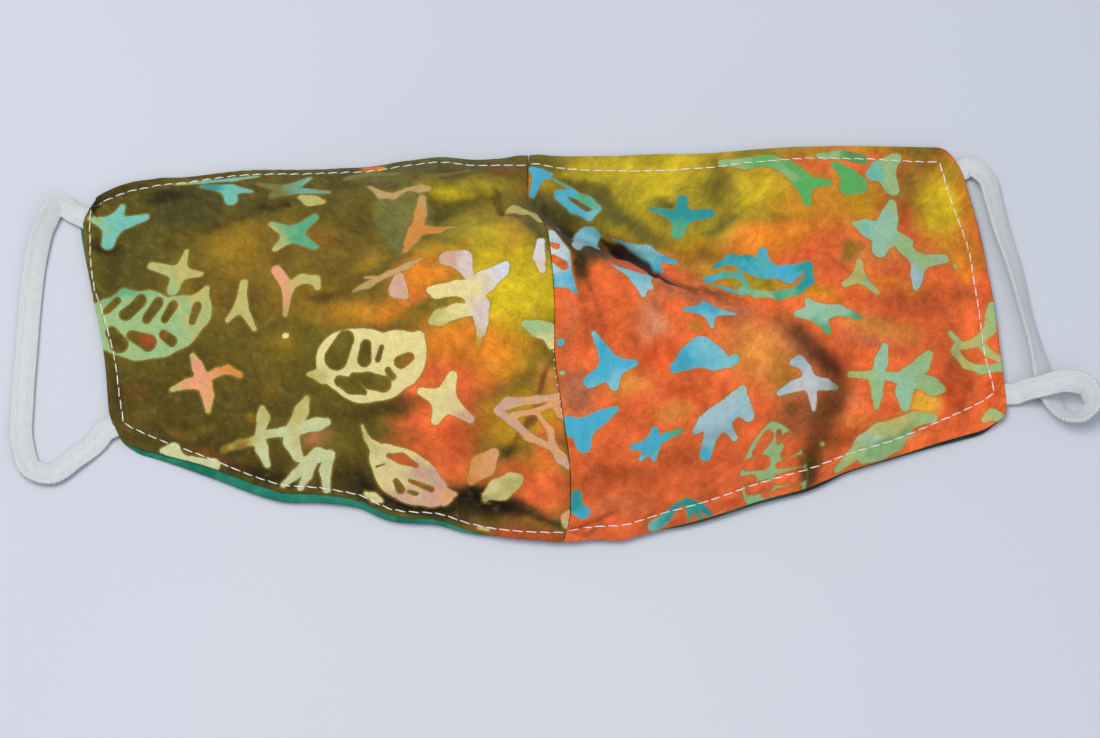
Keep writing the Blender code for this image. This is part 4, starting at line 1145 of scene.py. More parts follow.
def rolled(grid, normal, turn, flip):
    """A grid whose border rolls over into a turned edge. Returns its points and its faces."""
    columns, rows = grid.shape[0] - 1, grid.shape[1] - 1
    (i, j), sewn_from = border_of(columns, rows)
    edge, up = grid[i, j], normal[i, j]
    out = np.cross(np.roll(edge, -1, axis=0) - np.roll(edge, 1, axis=0), up)
    middle = grid.reshape(-1, 3).mean(axis=0)
    out = unit(out * np.sign(np.sum(out * (edge - middle), axis=1).mean()))
    radius = np.full((len(i), 1), HEM_ROLL)
    inward = turn * np.ones((len(i), 1))
    for width in (radius, inward):
        width[sewn_from:] = SEAM_ROLL
        width[0] = width[sewn_from - 1] = SEAM_ROLL
    rings = [grid.reshape(-1, 3)]
    for angle in np.linspace(0, math.pi, ROLL_STEPS + 1)[1:]:
        rings.append(edge + out * radius * math.sin(angle) - up * radius * (1 - math.cos(angle)))
    rings.append(edge - out * inward - up * radius * 2)
    cells = np.meshgrid(np.arange(columns), np.arange(rows), indexing="ij")
    corner = (cells[0] * (rows + 1) + cells[1]).ravel()
    faces = [np.stack([corner, corner + rows + 1, corner + rows + 2, corner + 1], axis=1)]
    near = i * (rows + 1) + j
    for step in range(ROLL_STEPS + 1):
        far = (columns + 1) * (rows + 1) + step * len(i) + np.arange(len(i))
        faces.append(np.stack([near, far, np.roll(far, -1), np.roll(near, -1)], axis=1))
        near = far
    faces = np.concatenate(faces)
    return np.concatenate(rings), faces[:, ::-1] if flip else faces


def make_mesh(name, points, faces, material):
    """A smooth-shaded object of the given points and faces."""
    mesh = bpy.data.meshes.new(name)
    mesh.from_pydata(points.tolist(), [], faces)
    mesh.shade_smooth()
    mesh.materials.append(material)
    obj = bpy.data.objects.new(name, mesh)
    bpy.context.scene.collection.objects.link(obj)
    return obj


def add_numbers(obj, name, values):
    """Stores one number for each point of a mesh."""
    obj.data.attributes.new(name, "FLOAT", "POINT").data.foreach_set("value", values.ravel())


def add_colours(obj, name, colours):
    """Stores one colour for each point of a mesh, from red, green and blue out of 255."""
    linear = (np.clip(colours, 0, 255) / 255) ** 2.2
    filled = np.concatenate([linear, np.ones((len(linear), 1))], axis=1)
    obj.data.attributes.new(name, "FLOAT_COLOR", "POINT").data.foreach_set("color", filled.ravel())


def add_threads(obj, across, upwards):
    """Lays a UV map of the cloth's own threads, in millimetres."""
    corners = np.empty(len(obj.data.loops), dtype=np.int32)
    obj.data.loops.foreach_get("vertex_index", corners)
    spread = np.stack([across[corners], upwards[corners]], axis=1)
    obj.data.uv_layers.new(name="threads").data.foreach_set("uv", spread.ravel())


def dye_colours(px, py, side):
    """The colour of the dyed ground at each pixel of the photograph."""
    x = px + ripples(px, py, DYE_WARP, 11)
    y = py + ripples(px, py, DYE_WARP, 14)
    colour = np.tile(np.array(DYE[GROUND[side]], dtype=float), (len(px), 1))
    for blot in rows_of(BLOTS[side]):
        turn = math.radians(blot["turn"])
        u = (x - blot["px"]) * math.cos(turn) - (y - blot["py"]) * math.sin(turn)
        v = (x - blot["px"]) * math.sin(turn) + (y - blot["py"]) * math.cos(turn)
        away = np.hypot(u / blot["wide"], v / blot["tall"])
        share = blot["strength"] * ease((1.25 - away) / (1.5 * blot["soft"]))
        colour += share[:, None] * (np.array(DYE[blot["colour"]]) - colour)
    return colour * (1 + ripples(px, py, DYE_SHADE, 21))[:, None]


def spot(place, points, px, py):
    """The point of the cloth that shows at a place of the photograph, the nearest to the camera."""
    away = np.hypot(px - place[0], py - place[1])
    close = np.flatnonzero(away < away.min() + SPOT_SIZE)
    return points[close[np.argmax(points[close] @ CAMERA_BACK)]]


def limb_depth(points, normal, px, py, start, end):
    """How deep inside one tapering limb each point of the cloth is, in millimetres."""
    first = spot(start, points, px, py)
    run = spot(end, points, px, py) - first + np.array([1e-6, 0, 0])
    away = points - first
    t = np.clip(away @ run / (run @ run), 0, 1)
    away = away - t[:, None] * run
    off = np.sum(away * normal, axis=1)
    aside = np.linalg.norm(away - off[:, None] * normal, axis=1)
    aside = np.hypot(aside, np.maximum(np.abs(off) - LAYER_REACH, 0))
    radius = start[2] + (end[2] - start[2]) * t
    return radius - aside * 1e3


def shape_depth(points, normal, px, py, limbs):
    """How deep inside a shape of softly joined limbs each point is, in millimetres."""
    depths = [limb_depth(points, normal, px, py, start, end) for start, end in limbs]
    top = np.maximum.reduce(depths)
    return top + ARM_BLEND * np.log(sum(np.exp((depth - top) / ARM_BLEND) for depth in depths))


def wax_print(points, normal, px, py, side):
    """The wax's depth and colour at each point of the cloth."""
    shapes = [(row[:2], [(row[2], tip) for tip in row[3:]]) for row in STARS[side]]
    shapes += [(row[:2], list(zip(row[2:], row[3:]))) for row in STROKES[side]]
    px = px + ripples(px, py, PRINT_WARP, 41)
    py = py + ripples(px, py, PRINT_WARP, 43)
    depth = np.full(len(points), NO_WAX)
    weight = np.full((len(points), 1), 1e-6)
    colour = np.array(DYE["cream"]) * weight
    for (from_colour, to_colour), limbs in shapes:
        places = np.array([place for limb in limbs for place in limb])
        margin = 4 * places[:, 2].max() + WAX_NEAR
        low, high = places.min(axis=0) - margin, places.max(axis=0) + margin
        here = np.flatnonzero((px > low[0]) & (px < high[0]) & (py > low[1]) & (py < high[1]))
        inside = shape_depth(points[here], normal[here], px[here], py[here], limbs)
        start, end = places[0], places[-1]
        run = end[:2] - start[:2] + 1e-3
        share = ((px[here] - start[0]) * run[0] + (py[here] - start[1]) * run[1]) / (run @ run)
        blend = ease(share + 0.5 * ripple(px[here], py[here], 11, 45))[:, None]
        tint = (1 - blend) * np.array(DYE[from_colour]) + blend * np.array(DYE[to_colour])
        strong = np.exp(np.clip(inside, -4, 4) / COLOUR_BLEND)[:, None]
        colour[here] += strong * tint
        weight[here] += strong
        depth[here] = np.maximum(depth[here], inside)
    for places in HOLES[side]:
        limbs = list(zip(places, places[1:]))
        near = np.flatnonzero(np.hypot(px - places[0][0], py - places[0][1]) < HOLE_NEAR)
        hole = shape_depth(points[near], normal[near], px[near], py[near], limbs)
        depth[near] = np.minimum(depth[near], -hole)
    return depth, colour / weight


def fold_shade(points, normal, px, py):
    """How much of the light reaches each point, from 0 in the deepest pockets to 1."""
    shade = np.ones(len(points))
    for crease in rows_of(CREASES):
        if SHARPEST < crease["height"] < 0:
            dark = crease_at(crease, px, py, -SHADOW_PER_MM * crease["height"], 0.6 * crease["width"])
            shade *= 1 - np.minimum(0.8, dark)
    for soft, strength, *places in POCKETS:
        centre = np.mean([place[:2] for place in places], axis=0)
        near = np.flatnonzero(np.hypot(px - centre[0], py - centre[1]) < POCKET_NEAR)
        if not all(np.hypot(px - place[0], py - place[1]).min() < 3 for place in places):
            continue
        limbs = list(zip(places, places[1:]))
        inside = shape_depth(points[near], normal[near], px[near], py[near], limbs)
        shade[near] *= 1 - strength * ease(0.5 + inside / soft / 2)
    return shade


def outer_panel(name):
    """The printed outer cloth of one half, with its turned hems."""
    half = Half(name)
    cloth = Cloth(half, OUTER_COLUMNS, OUTER_ROWS, SEAM_ROLL, HEM_ROLL)
    surface = cloth.base + cloth.normal * (OUTER_THICKNESS + cloth.relief())[..., None]
    normal = normals_of(surface, half.side)
    points, faces = rolled(surface, normal, HEM_TURN, half.side < 0)
    points[:, 2] = np.maximum(points[:, 2], LINING_THICKNESS + LAYER_GAP)
    obj = make_mesh("printed_outer_" + name, points, faces.tolist(), print_material("batik_" + name))
    (i, j), _ = border_of(OUTER_COLUMNS, OUTER_ROWS)

    def spread(values):
        """A value for each point, the turned edge taking its border's."""
        flat = values.reshape((-1,) + values.shape[2:])
        return np.concatenate([flat] + [values[i, j]] * (ROLL_STEPS + 1))

    px, py = photo_pixel(points)
    add_colours(obj, "dye", dye_colours(px, py, name))
    depth, colour = wax_print(points, spread(normal), px, py, name)
    add_numbers(obj, "wax", depth)
    add_numbers(obj, "shade", fold_shade(points, spread(normal), px, py))
    add_colours(obj, "wax_colour", colour)
    add_threads(obj, spread(cloth.from_seam) * 1e3, spread(cloth.from_bottom) * 1e3)
    dress(obj, "outer_" + name)
    return obj, cloth, surface, normal


def lining_panel(name):
    """The lining of one half, seen from underneath and where it shows past the outer cloth."""
    half = Half(name)
    cloth = Cloth(half, LINING_COLUMNS, LINING_ROWS, SEAM_ROLL, LINING_INSET)
    relief = np.clip(cloth.relief(), *LINING_RELIEF) * 0.8
    drop = LAYER_GAP + LINING_THICKNESS - relief
    under = cloth.base - cloth.normal * drop[..., None]
    along, up = cloth.along, cloth.up[-1]
    reach = np.maximum(LINING_PEEK * read(LINING_AT_BOTTOM[name], "peek", along), LAYER_GAP)
    reach = (reach + LINING_INSET - HEM_ROLL) * corner_fade(1 - along)
    under = with_border(under, reach, half.side, bottom=True)
    reach = LINING_PEEK * read(LINING_SHOWS_AT_EAR[name], "peek", up) + LINING_INSET - HEM_ROLL
    reach *= corner_fade(np.minimum(up, 1 - up))
    reach = np.concatenate([[reach[0]] * BORDER_STEPS, reach])
    under = with_border(under, reach, half.side, bottom=False)
    under[..., 2] = np.maximum(under[..., 2], LOWEST)
    (i, j), _ = border_of(under.shape[0] - 1, under.shape[1] - 1)
    turn = np.where((j == 0) & (i < 0.9 * LINING_COLUMNS), LINING_TURN, EDGE_TURN)[:, None]
    points, faces = rolled(under, -normals_of(under, half.side), turn, half.side > 0)
    points[:, 2] = np.maximum(points[:, 2], LOWEST)
    material = lining_material("lining_" + name, *LINING_COLOURS[name])
    obj = make_mesh("cotton_lining_" + name, points, faces.tolist(), material)
    add_threads(obj, points[:, 0] * 1e3, points[:, 1] * 1e3)
    dress(obj, "lining_" + name)
    return obj, under


def corner_fade(away):
    """How much of the lining's strip is left at this share of an edge away from its corner."""
    return CORNER_LEFT + (1 - CORNER_LEFT) * ease(away / CORNER_FADE)


def with_border(grid, reach, side, bottom):
    """A grid with a few more rows past its bottom hem, or more columns past its ear edge."""
    smooth = np.full(2 * BORDER_SMOOTH + 1, 1 / (2 * BORDER_SMOOTH + 1))
    edge = grid[:, 0] if bottom else grid[-1]
    out = np.pad(outward(edge, side), ((BORDER_SMOOTH, BORDER_SMOOTH), (0, 0)), "edge")
    out = unit(np.stack([np.convolve(out[:, k], smooth, "valid") for k in (0, 1)], axis=1))
    strips = []
    for step in range(1, BORDER_STEPS + 1):
        strip = edge.copy()
        strip[:, :2] += out * reach[:, None] * step / BORDER_STEPS
        strips.append(strip)
    if bottom:
        return np.concatenate([np.stack(strips[::-1], axis=1), grid], axis=1)
    return np.concatenate([grid, np.stack(strips, axis=0)], axis=0)


def dress(obj, solid):
    """Makes a piece ride on the mask and stand for its solid."""
    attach(obj, "root")
    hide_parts(solid)


def node(tree, kind, **settings):
    """Adds a shader node. Settings name its properties or, as inputs, its sockets' values."""
    new = tree.nodes.new(kind)
    for key, value in settings.items():
        if key == "inputs":
            for socket, number in value.items():
                new.inputs[socket].default_value = number
        else:
            setattr(new, key, value)
    return new


def stored(tree, name, output="Fac"):
    """A value that is stored for each point of the mesh."""
    return node(tree, "ShaderNodeAttribute", attribute_name=name).outputs[output]


def thread_map(tree):
    """The place on the cloth or the band along its own threads, in millimetres."""
    return node(tree, "ShaderNodeUVMap", uv_map="threads").outputs[0]


def bump(tree, shader, height, strength, distance):
    """Gives a shader a fine relief."""
    new = node(tree, "ShaderNodeBump", inputs={"Strength": strength, "Distance": distance})
    tree.links.new(height, new.inputs["Height"])
    tree.links.new(new.outputs[0], shader.inputs["Normal"])


def new_material(name):
    """A material with an empty tree but for its Principled shader and output."""
    material = bpy.data.materials.new(name)
    material.use_nodes = True
    return material, material.node_tree, material.node_tree.nodes["Principled BSDF"]


def mix_colour(tree, blend, factor, first, second):
    """Mixes two colours. Each input is a socket or a fixed value."""
    mixed = node(tree, "ShaderNodeMix", data_type="RGBA", blend_type=blend)
    for index, value in ((0, factor), (6, first), (7, second)):
        if isinstance(value, bpy.types.NodeSocket):
            tree.links.new(value, mixed.inputs[index])
        else:
            mixed.inputs[index].default_value = value
    return mixed.outputs[2]


def do_maths(tree, operation, first, second=0.0, third=0.0):
    """A maths node. Each input is a socket or a number."""
    new = node(tree, "ShaderNodeMath", operation=operation)
    for index, value in enumerate((first, second, third)):
        if isinstance(value, bpy.types.NodeSocket):
            tree.links.new(value, new.inputs[index])
        else:
            new.inputs[index].default_value = value
    return new.outputs[0]


def map_between(tree, value, low, high, to_low=0.0, to_high=1.0):
    """Maps a number smoothly from one range to another."""
    new = node(tree, "ShaderNodeMapRange", interpolation_type="SMOOTHSTEP")
    tree.links.new(value, new.inputs[0])
    for index, number in ((1, low), (2, high), (3, to_low), (4, to_high)):
        new.inputs[index].default_value = number
    return new.outputs[0]


def tone_and_shade(tree, colour, value):
    """A colour multiplied by a number, for random tone and for painted shade."""
    grey = node(tree, "ShaderNodeCombineColor")
    for index in range(3):
        tree.links.new(value, grey.inputs[index])
    return mix_colour(tree, "MULTIPLY", 1.0, colour, grey.outputs[0])


def noise(tree, place, scale, detail=3.0, distortion=0.0):
    """A noise texture's value at a place."""
    new = node(tree, "ShaderNodeTexNoise")
    tree.links.new(place, new.inputs["Vector"])
    for socket, number in (("Scale", scale), ("Detail", detail), ("Distortion", distortion)):
        new.inputs[socket].default_value = number
    return new.outputs["Fac"]


def weave_height(tree, threads):
    """A plain weave: warp and weft threads that pass over and under each other."""
    split = node(tree, "ShaderNodeSeparateXYZ")
    tree.links.new(threads, split.inputs[0])
    turns = math.pi / THREAD_PITCH
    wobble = do_maths(tree, "MULTIPLY", noise(tree, threads, 0.9), 0.5)
    across = do_maths(tree, "MULTIPLY_ADD", split.outputs[0], turns, wobble)
    upwards = do_maths(tree, "MULTIPLY_ADD", split.outputs[1], turns, wobble)
    warp = do_maths(tree, "ABSOLUTE", do_maths(tree, "SINE", across))
    weft = do_maths(tree, "ABSOLUTE", do_maths(tree, "SINE", upwards))
    over = do_maths(tree, "MULTIPLY", do_maths(tree, "COSINE", across), do_maths(tree, "COSINE", upwards))
    side = map_between(tree, over, -0.4, 0.4)
    warp_part = do_maths(tree, "MULTIPLY", warp, side)
    weft_part = do_maths(tree, "MULTIPLY", weft, do_maths(tree, "SUBTRACT", 1.0, side))
    return do_maths(tree, "ADD", warp_part, weft_part)


def finish_cloth(tree, shader, colour, threads):
    """Gives a cotton shader its colour, its weave relief and its sheen."""
    weave = weave_height(tree, threads)
    shade = map_between(tree, weave, 0.1, 1.0, 0.85, 1.05)
    tree.links.new(tone_and_shade(tree, colour, shade), shader.inputs["Base Color"])
    slub = noise(tree, threads, 1.3, 4.0)
    height = do_maths(tree, "MULTIPLY_ADD", slub, 0.8, weave)
    bump(tree, shader, height, 0.55, 0.00008)
    shader.inputs["Roughness"].default_value = 0.88
    shader.inputs["Specular IOR Level"].default_value = 0.14
    shader.inputs["Sheen Weight"].default_value = 0.04
    shader.inputs["Sheen Roughness"].default_value = 0.55


def print_material(name):
    """Batik cotton: clouded dye, and wax-resist shapes with a stained fringe, darkened by the painted shade
    of its folds.
    """
    material, tree, shader = new_material(name)
    threads = thread_map(tree)
    dye = stored(tree, "dye", "Color")
    wax = stored(tree, "wax")
    tint = stored(tree, "wax_colour", "Color")
    cloud = map_between(tree, noise(tree, threads, 0.16, 6.0, 0.8), 0.30, 0.70)
    ground = mix_colour(tree, "MULTIPLY", cloud, dye, TINT["cloud"])
    vein = map_between(tree, noise(tree, threads, 0.34, 5.0, 1.4), 0.36, 0.60, 0.91, 1.10)
    ground = tone_and_shade(tree, ground, vein)
    bright = map_between(tree, noise(tree, threads, 0.45, 5.0, 0.4), 0.50, 0.72, 0.0, 0.35)
    ground = mix_colour(tree, "SCREEN", bright, ground, TINT["bright"])
    pool = noise(tree, threads, 0.11, 2.0, 1.6)
    line = do_maths(tree, "ABSOLUTE", do_maths(tree, "SUBTRACT", pool, 0.5))
    dark = map_between(tree, line, 0.0, 0.030, 0.10, 0.0)
    ground = mix_colour(tree, "MULTIPLY", dark, ground, TINT["vein"])
    ragged = do_maths(tree, "MULTIPLY", do_maths(tree, "SUBTRACT", noise(tree, threads, 1.6), 0.5), 0.5)
    edge = do_maths(tree, "ADD", wax, ragged)
    outside = map_between(tree, edge, -0.75, -0.15)
    fringe = do_maths(tree, "MULTIPLY", outside, map_between(tree, edge, 0.30, -0.05))
    stain = do_maths(tree, "MULTIPLY", fringe, 0.45)
    ground = mix_colour(tree, "MIX", stain, ground, TINT["stain"])
    worn = map_between(tree, noise(tree, threads, 0.5, 4.0), 0.35, 0.7)
    motif = mix_colour(tree, "MULTIPLY", worn, tint, TINT["worn"])
    printed = mix_colour(tree, "MIX", map_between(tree, edge, -0.16, 0.16), ground, motif)
    speck = map_between(tree, noise(tree, threads, 2.0, 3.0), 0.34, 0.66, 0.93, 1.09)
    printed = tone_and_shade(tree, printed, speck)
    # Painted shade of the folds and creases, stored for each point
    printed = tone_and_shade(tree, printed, stored(tree, "shade"))
    finish_cloth(tree, shader, printed, threads)
    return material


def lining_material(name, dark, light):
    """Plain cotton, hand-dyed in clouds of two shades."""
    material, tree, shader = new_material(name)
    threads = thread_map(tree)
    cloud = map_between(tree, noise(tree, threads, 0.10, 6.0, 1.2), 0.32, 0.68)
    colour = mix_colour(tree, "MIX", cloud, dark, light)
    finish_cloth(tree, shader, colour, threads)
    return material


def thread_material():
    """White polyester sewing thread."""
    material, tree, shader = new_material("sewing_thread")
    place = node(tree, "ShaderNodeTexCoord").outputs["Object"]
    fleck = map_between(tree, noise(tree, place, 900.0), 0.3, 0.7)
    colour = mix_colour(tree, "MIX", fleck, TINT["dull thread"], TINT["white thread"])
    tree.links.new(colour, shader.inputs["Base Color"])
    bump(tree, shader, noise(tree, place, 2500.0), 0.4, 0.00005)
    shader.inputs["Roughness"].default_value = 0.55
    return material


def elastic_material():
    """White knitted elastic, with painted shade in the grooves between its ribs, between the scallops of its
    edges and in the knit's holes.
    """
    material, tree, shader = new_material("knitted_elastic")
    threads = thread_map(tree)
    # Painted shade of the rib grooves and of the notches between the edge scallops, stored for each point
    deep = stored(tree, "painted_groove_shade")
    soil = map_between(tree, noise(tree, threads, 0.5, 4.0), 0.3, 0.75, 0.0, 0.5)
    white = mix_colour(tree, "MIX", soil, TINT["clean elastic"], TINT["soiled elastic"])
    # Painted shade: dark dots in the knit's holes
    split = node(tree, "ShaderNodeSeparateXYZ")
    tree.links.new(threads, split.inputs[0])
    rows = do_maths(tree, "SINE", do_maths(tree, "MULTIPLY", split.outputs[0], math.tau / 0.86))
    loops = do_maths(tree, "SINE", do_maths(tree, "MULTIPLY", split.outputs[1], math.tau / 0.82))
    hole_shade = map_between(tree, do_maths(tree, "MULTIPLY", rows, loops), 0.15, 0.7, 0.0, 0.45)
    white = mix_colour(tree, "MIX", hole_shade, white, TINT["painted knit hole shade"])
    colour = mix_colour(tree, "MIX", do_maths(tree, "MULTIPLY", deep, 0.7), white, TINT["painted rib groove shade"])
    tree.links.new(colour, shader.inputs["Base Color"])
    bump(tree, shader, noise(tree, threads, 6.0, 3.0), 0.5, 0.00006)
    shader.inputs["Roughness"].default_value = 0.75
    shader.inputs["Sheen Weight"].default_value = 0.15
    return material


def at_index(grid, i, j):
    """The grid's values at fractional indices."""
    i = np.clip(i, 0, grid.shape[0] - 1.001)
    j = np.clip(j, 0, grid.shape[1] - 1.001)
    a, b = np.floor(i).astype(int), np.floor(j).astype(int)
    s, t = (i - a)[:, None], (j - b)[:, None]
    low = grid[a, b] * (1 - s) + grid[a + 1, b] * s
    return low * (1 - t) + (grid[a, b + 1] * (1 - s) + grid[a + 1, b + 1] * s) * t


def crossing(hem, ear, i):
    """The fractional indices at which a run along a hem meets the one along the ear edge."""
    for _ in range(6):
        j = np.interp(i, hem[:, 0], hem[:, 1])
        i = np.interp(j, ear[:, 1], ear[:, 0])
    return i, j


def stitch_lines(cloth):
    """The stitching's three runs on one half, as fractional indices: bottom, ear and top."""
    inset_bottom, inset_ear, inset_top = cloth.stitch_insets()
    columns, rows = cloth.columns, cloth.rows
    i = np.arange(columns + 1)
    pace = cloth.from_bottom[:, 1] - cloth.from_bottom[:, 0]
    bottom = np.stack([i, (inset_bottom[:, 0] - cloth.hem_inset) / pace], axis=1)
    top = np.stack([i, rows - (inset_top[:, 0] - cloth.hem_inset) / pace], axis=1)
    j = np.arange(rows + 1)
    pace = cloth.from_ear[-2] - cloth.from_ear[-1]
    ear = np.stack([columns - (inset_ear[-1] - cloth.hem_inset) / pace, j], axis=1)
    low = crossing(bottom, ear, ear[0, 0])
    high = crossing(top, ear, ear[-1, 0])
    bottom = bottom[bottom[:, 0] <= low[0] + 0.5]
    ear = ear[(ear[:, 1] >= low[1]) & (ear[:, 1] <= high[1])]
    return bottom, ear, top[top[:, 0] <= high[0] + 0.5][::-1]


def tube(points, up, radius, sides):
    """The points and faces of a closed thread that follows a short path."""
    run = unit(np.gradient(points, axis=0))
    across = unit(np.cross(run, up))
    above = np.cross(across, run)
    turn = np.linspace(0, math.tau, sides, endpoint=False)[None, :, None]
    ends = np.sin(np.linspace(THREAD_END, math.pi - THREAD_END, len(points))) ** 0.35
    ring = np.cos(turn) * across[:, None] + np.sin(turn) * above[:, None]
    body = (points[:, None] + ring * (radius * ends)[:, None, None]).reshape(-1, 3)
    faces = []
    for k in range(len(points) - 1):
        for s in range(sides):
            t = (s + 1) % sides
            faces.append((k * sides + s, k * sides + t, (k + 1) * sides + t, (k + 1) * sides + s))
    caps = [list(range(sides))[::-1], list(range(len(body) - sides, len(body)))]
    return body, faces + caps


def joined(meshes):
    """The points and faces of several meshes as one."""
    points, faces, base = [], [], 0
    for body, its_faces in meshes:
        points.append(body)
        faces += [[index + base for index in face] for face in its_faces]
        base += len(body)
    return np.concatenate(points), faces


def stitches(path, up, length, gap, radius):
    """Threads laid along a path, each dipping into the cloth at its ends."""
    far = walked(path)
    pace = far[-1] / max(1, round(far[-1] / (length + gap)))
    count = round(far[-1] / pace)
    shares = np.linspace(0, 1, THREAD_STEPS)
    jitter = np.random.default_rng(len(path)).uniform(-1, 1, (count, 2))
    threads = []
    for k in range(count):
        here = k * pace + gap / 2 + shares * (pace - gap) * (1 + 0.04 * jitter[k, 0])
        middle = np.stack([np.interp(here, far, path[:, c]) for c in range(3)], axis=1)
        lift = np.stack([np.interp(here, far, up[:, c]) for c in range(3)], axis=1)
        side = unit(np.cross(middle[-1] - middle[0], lift[THREAD_STEPS // 2]))
        bulge = np.sin(shares * math.pi)
        middle += lift * radius * (1.15 * bulge**0.5 - 0.75)[:, None]
        middle += side * (shares - 0.5)[:, None] * radius * (0.9 + 0.6 * jitter[k, 1])
        threads.append(tube(middle, lift, radius, THREAD_SIDES))
    return threads


def top_stitching(halves, material):
    """The white stitching that runs round all the edges, through both halves."""
    threads = []
    for cloth, surface, normal in halves:
        for line in stitch_lines(cloth):
            path = at_index(surface, line[:, 0], line[:, 1])
            up = at_index(normal, line[:, 0], line[:, 1])
            threads += stitches(path, up, STITCH_LENGTH, STITCH_GAP, THREAD_RADIUS)
    cloth, surface, normal = halves[0]
    down_seam = photo_pixel(surface[0])[1]
    shown = (down_seam > SEAM_STITCHES_SHOWN[0]) & (down_seam < SEAM_STITCHES_SHOWN[1])
    path, up = surface[0][shown], normal[0][shown]
    gap = SEAM_STITCH_PITCH - SEAM_STITCH_LENGTH
    threads += stitches(path, up, SEAM_STITCH_LENGTH, gap, SEAM_THREAD_RADIUS)
    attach(make_mesh("top_stitching", *joined(threads), material), "root")


def band_ends(half):
    """Where the band meets the cloth at its upper and lower end, and the ways out there."""
    ups = np.linspace(0, 1, 23)
    peek = np.maximum(LINING_PEEK * read(LINING_AT_EAR[half.name], "peek", ups), LAYER_GAP)
    edge = half.ear(ups)
    rim = edge + unit(outward(edge, half.side)) * peek[:, None]
    ends = []
    for up in LOOP_ENDS[half.name]:
        at, ahead = half.ear(np.array([up, up + 0.02]))
        way = unit(half.side * np.array([ahead[1] - at[1], at[0] - ahead[0]]))
        near = np.abs((rim - at) @ np.array([-way[1], way[0]])) < BAND_WIDTH * 0.6
        ends.append((at + way * (((rim - at) @ way)[near].max() + BAND_CLEARANCE), way))
    return ends


def band_knots(half):
    """The band's route: place in plan, lift and lean, from inside one end to inside the other."""
    reach = LEFT_LOOP_REACH if half.name == "left" else RIGHT_LOOP_REACH
    (upper, upper_way), (lower, lower_way) = band_ends(half)
    run = lower - upper
    out = half.side * np.array([-run[1], run[0]]) / np.linalg.norm(run)
    held = (LINING_THICKNESS + LAYER_GAP / 2 - BAND_THICKNESS / 2) / BAND_WIDTH
    knots = [(*(upper - upper_way * BAND_HIDDEN), held, 0.0), (*upper, held, 0.0)]
    knots.append((*(upper + upper_way * BAND_TAB), held, 0.0))
    for row in rows_of(BAND_ROUTE[half.name])[1:]:
        place = upper + run * row["along"] + out * row["out"] * reach
        knots.append((*place, row["lift"], math.radians(row["lean"])))
    knots += [(*(lower + lower_way * BAND_TAB), held, 0.0), (*lower, held, 0.0)]
    return np.array(knots + [(*(lower - lower_way * BAND_HIDDEN), held, 0.0)])


def curve_through(knots, step):
    """Points on a smooth curve through the knots."""
    at = walked(knots[:, :2])
    slope = np.gradient(knots, at, axis=0)
    here = np.linspace(0, at[-1], int(at[-1] / step) + 1)
    i = np.clip(np.searchsorted(at, here, side="right") - 1, 0, len(at) - 2)
    span = (at[i + 1] - at[i])[:, None]
    return join((here - at[i])[:, None] / span, span, knots[i], knots[i + 1], slope[i], slope[i + 1])


def ear_band(name, material):
    """A flat knitted elastic band with lengthwise ribs and a scalloped edge."""
    half = Half(name)
    route = curve_through(band_knots(half), BAND_STEP)
    lean = route[:, 3]
    rest = BAND_WIDTH / 2 * np.sin(lean) + BAND_THICKNESS / 2 * np.cos(lean)
    middle = route[:, :3].copy()
    middle[:, 2] = rest + np.maximum(route[:, 2], 0) * BAND_WIDTH
    middle[:, :2] += SHIFT
    run = unit(np.gradient(middle, axis=0))
    level = unit(np.cross(run, [0, 0, 1]))
    wide = level * np.cos(lean)[:, None] + np.array([0, 0, 1.0]) * np.sin(lean)[:, None]
    wide = unit(wide - run * np.sum(wide * run, axis=1)[:, None])
    thick = np.cross(wide, run)
    thick *= np.sign(thick[:, 2:])
    far = walked(middle)[:, None]
    turn = np.linspace(0, math.tau, BAND_SIDES, endpoint=False)[None, :]
    u = np.sign(np.cos(turn)) * np.abs(np.cos(turn)) ** 0.55
    v = np.sign(np.sin(turn)) * np.abs(np.sin(turn)) ** 0.45
    rib_at = (u + 1) / 2 * RIB_COUNT
    rib = np.abs(np.sin(rib_at * math.pi))
    herring = np.where(np.floor(rib_at) % 2 > 0, 1, -1)
    knit = np.abs(np.sin(math.pi * (far / KNIT_PITCH + 0.5 * herring * u)))
    edge = np.abs(u) ** 12
    across = u * BAND_WIDTH / 2 * (1 - 0.075 * edge * (1 - knit))
    above = v * BAND_THICKNESS / 2 * (0.84 + 0.07 * rib + 0.09 * knit * (1 - edge))
    points = middle[:, None] + wide[:, None] * across[..., None] + thick[:, None] * above[..., None]
    points = points.reshape(-1, 3)
    points[:, 2] = np.maximum(points[:, 2], LOWEST)
    first, side = np.meshgrid(np.arange(len(middle) - 1) * BAND_SIDES, np.arange(BAND_SIDES), indexing="ij")
    after = (side + 1) % BAND_SIDES
    near = np.stack([first + side, first + after], axis=-1)
    quads = np.concatenate([near, near[..., ::-1] + BAND_SIDES], axis=-1)
    obj = make_mesh("elastic_loop_" + name, points, quads.reshape(-1, 4).tolist(), material)
    # Painted shade, stored for each point: darker in the grooves between the ribs and between the edge
    # scallops
    painted_groove_shade = 0.30 * np.clip(1.0 - rib * (0.4 + 0.6 * knit), 0, 1) ** 1.5
    add_numbers(obj, "painted_groove_shade", np.maximum(painted_groove_shade, edge * (1 - knit) ** 1.5))
    add_threads(obj, across.ravel() * 1e3, (far + 0 * across).ravel() * 1e3)
    dress(obj, "ear_loop_" + name)


def add_camera():
    """The camera at the photograph's viewing angle."""
    data = bpy.data.cameras.new("photo_camera")
    data.lens = FOCAL_LENGTH
    data.sensor_width = SENSOR_WIDTH
    camera = bpy.data.objects.new("photo_camera", data)
    camera.location = CAMERA_PLACE
    camera.rotation_euler = (math.pi / 2 - CAMERA_ELEVATION, 0.0, 0.0)
    bpy.context.scene.collection.objects.link(camera)
    bpy.context.scene.camera = camera


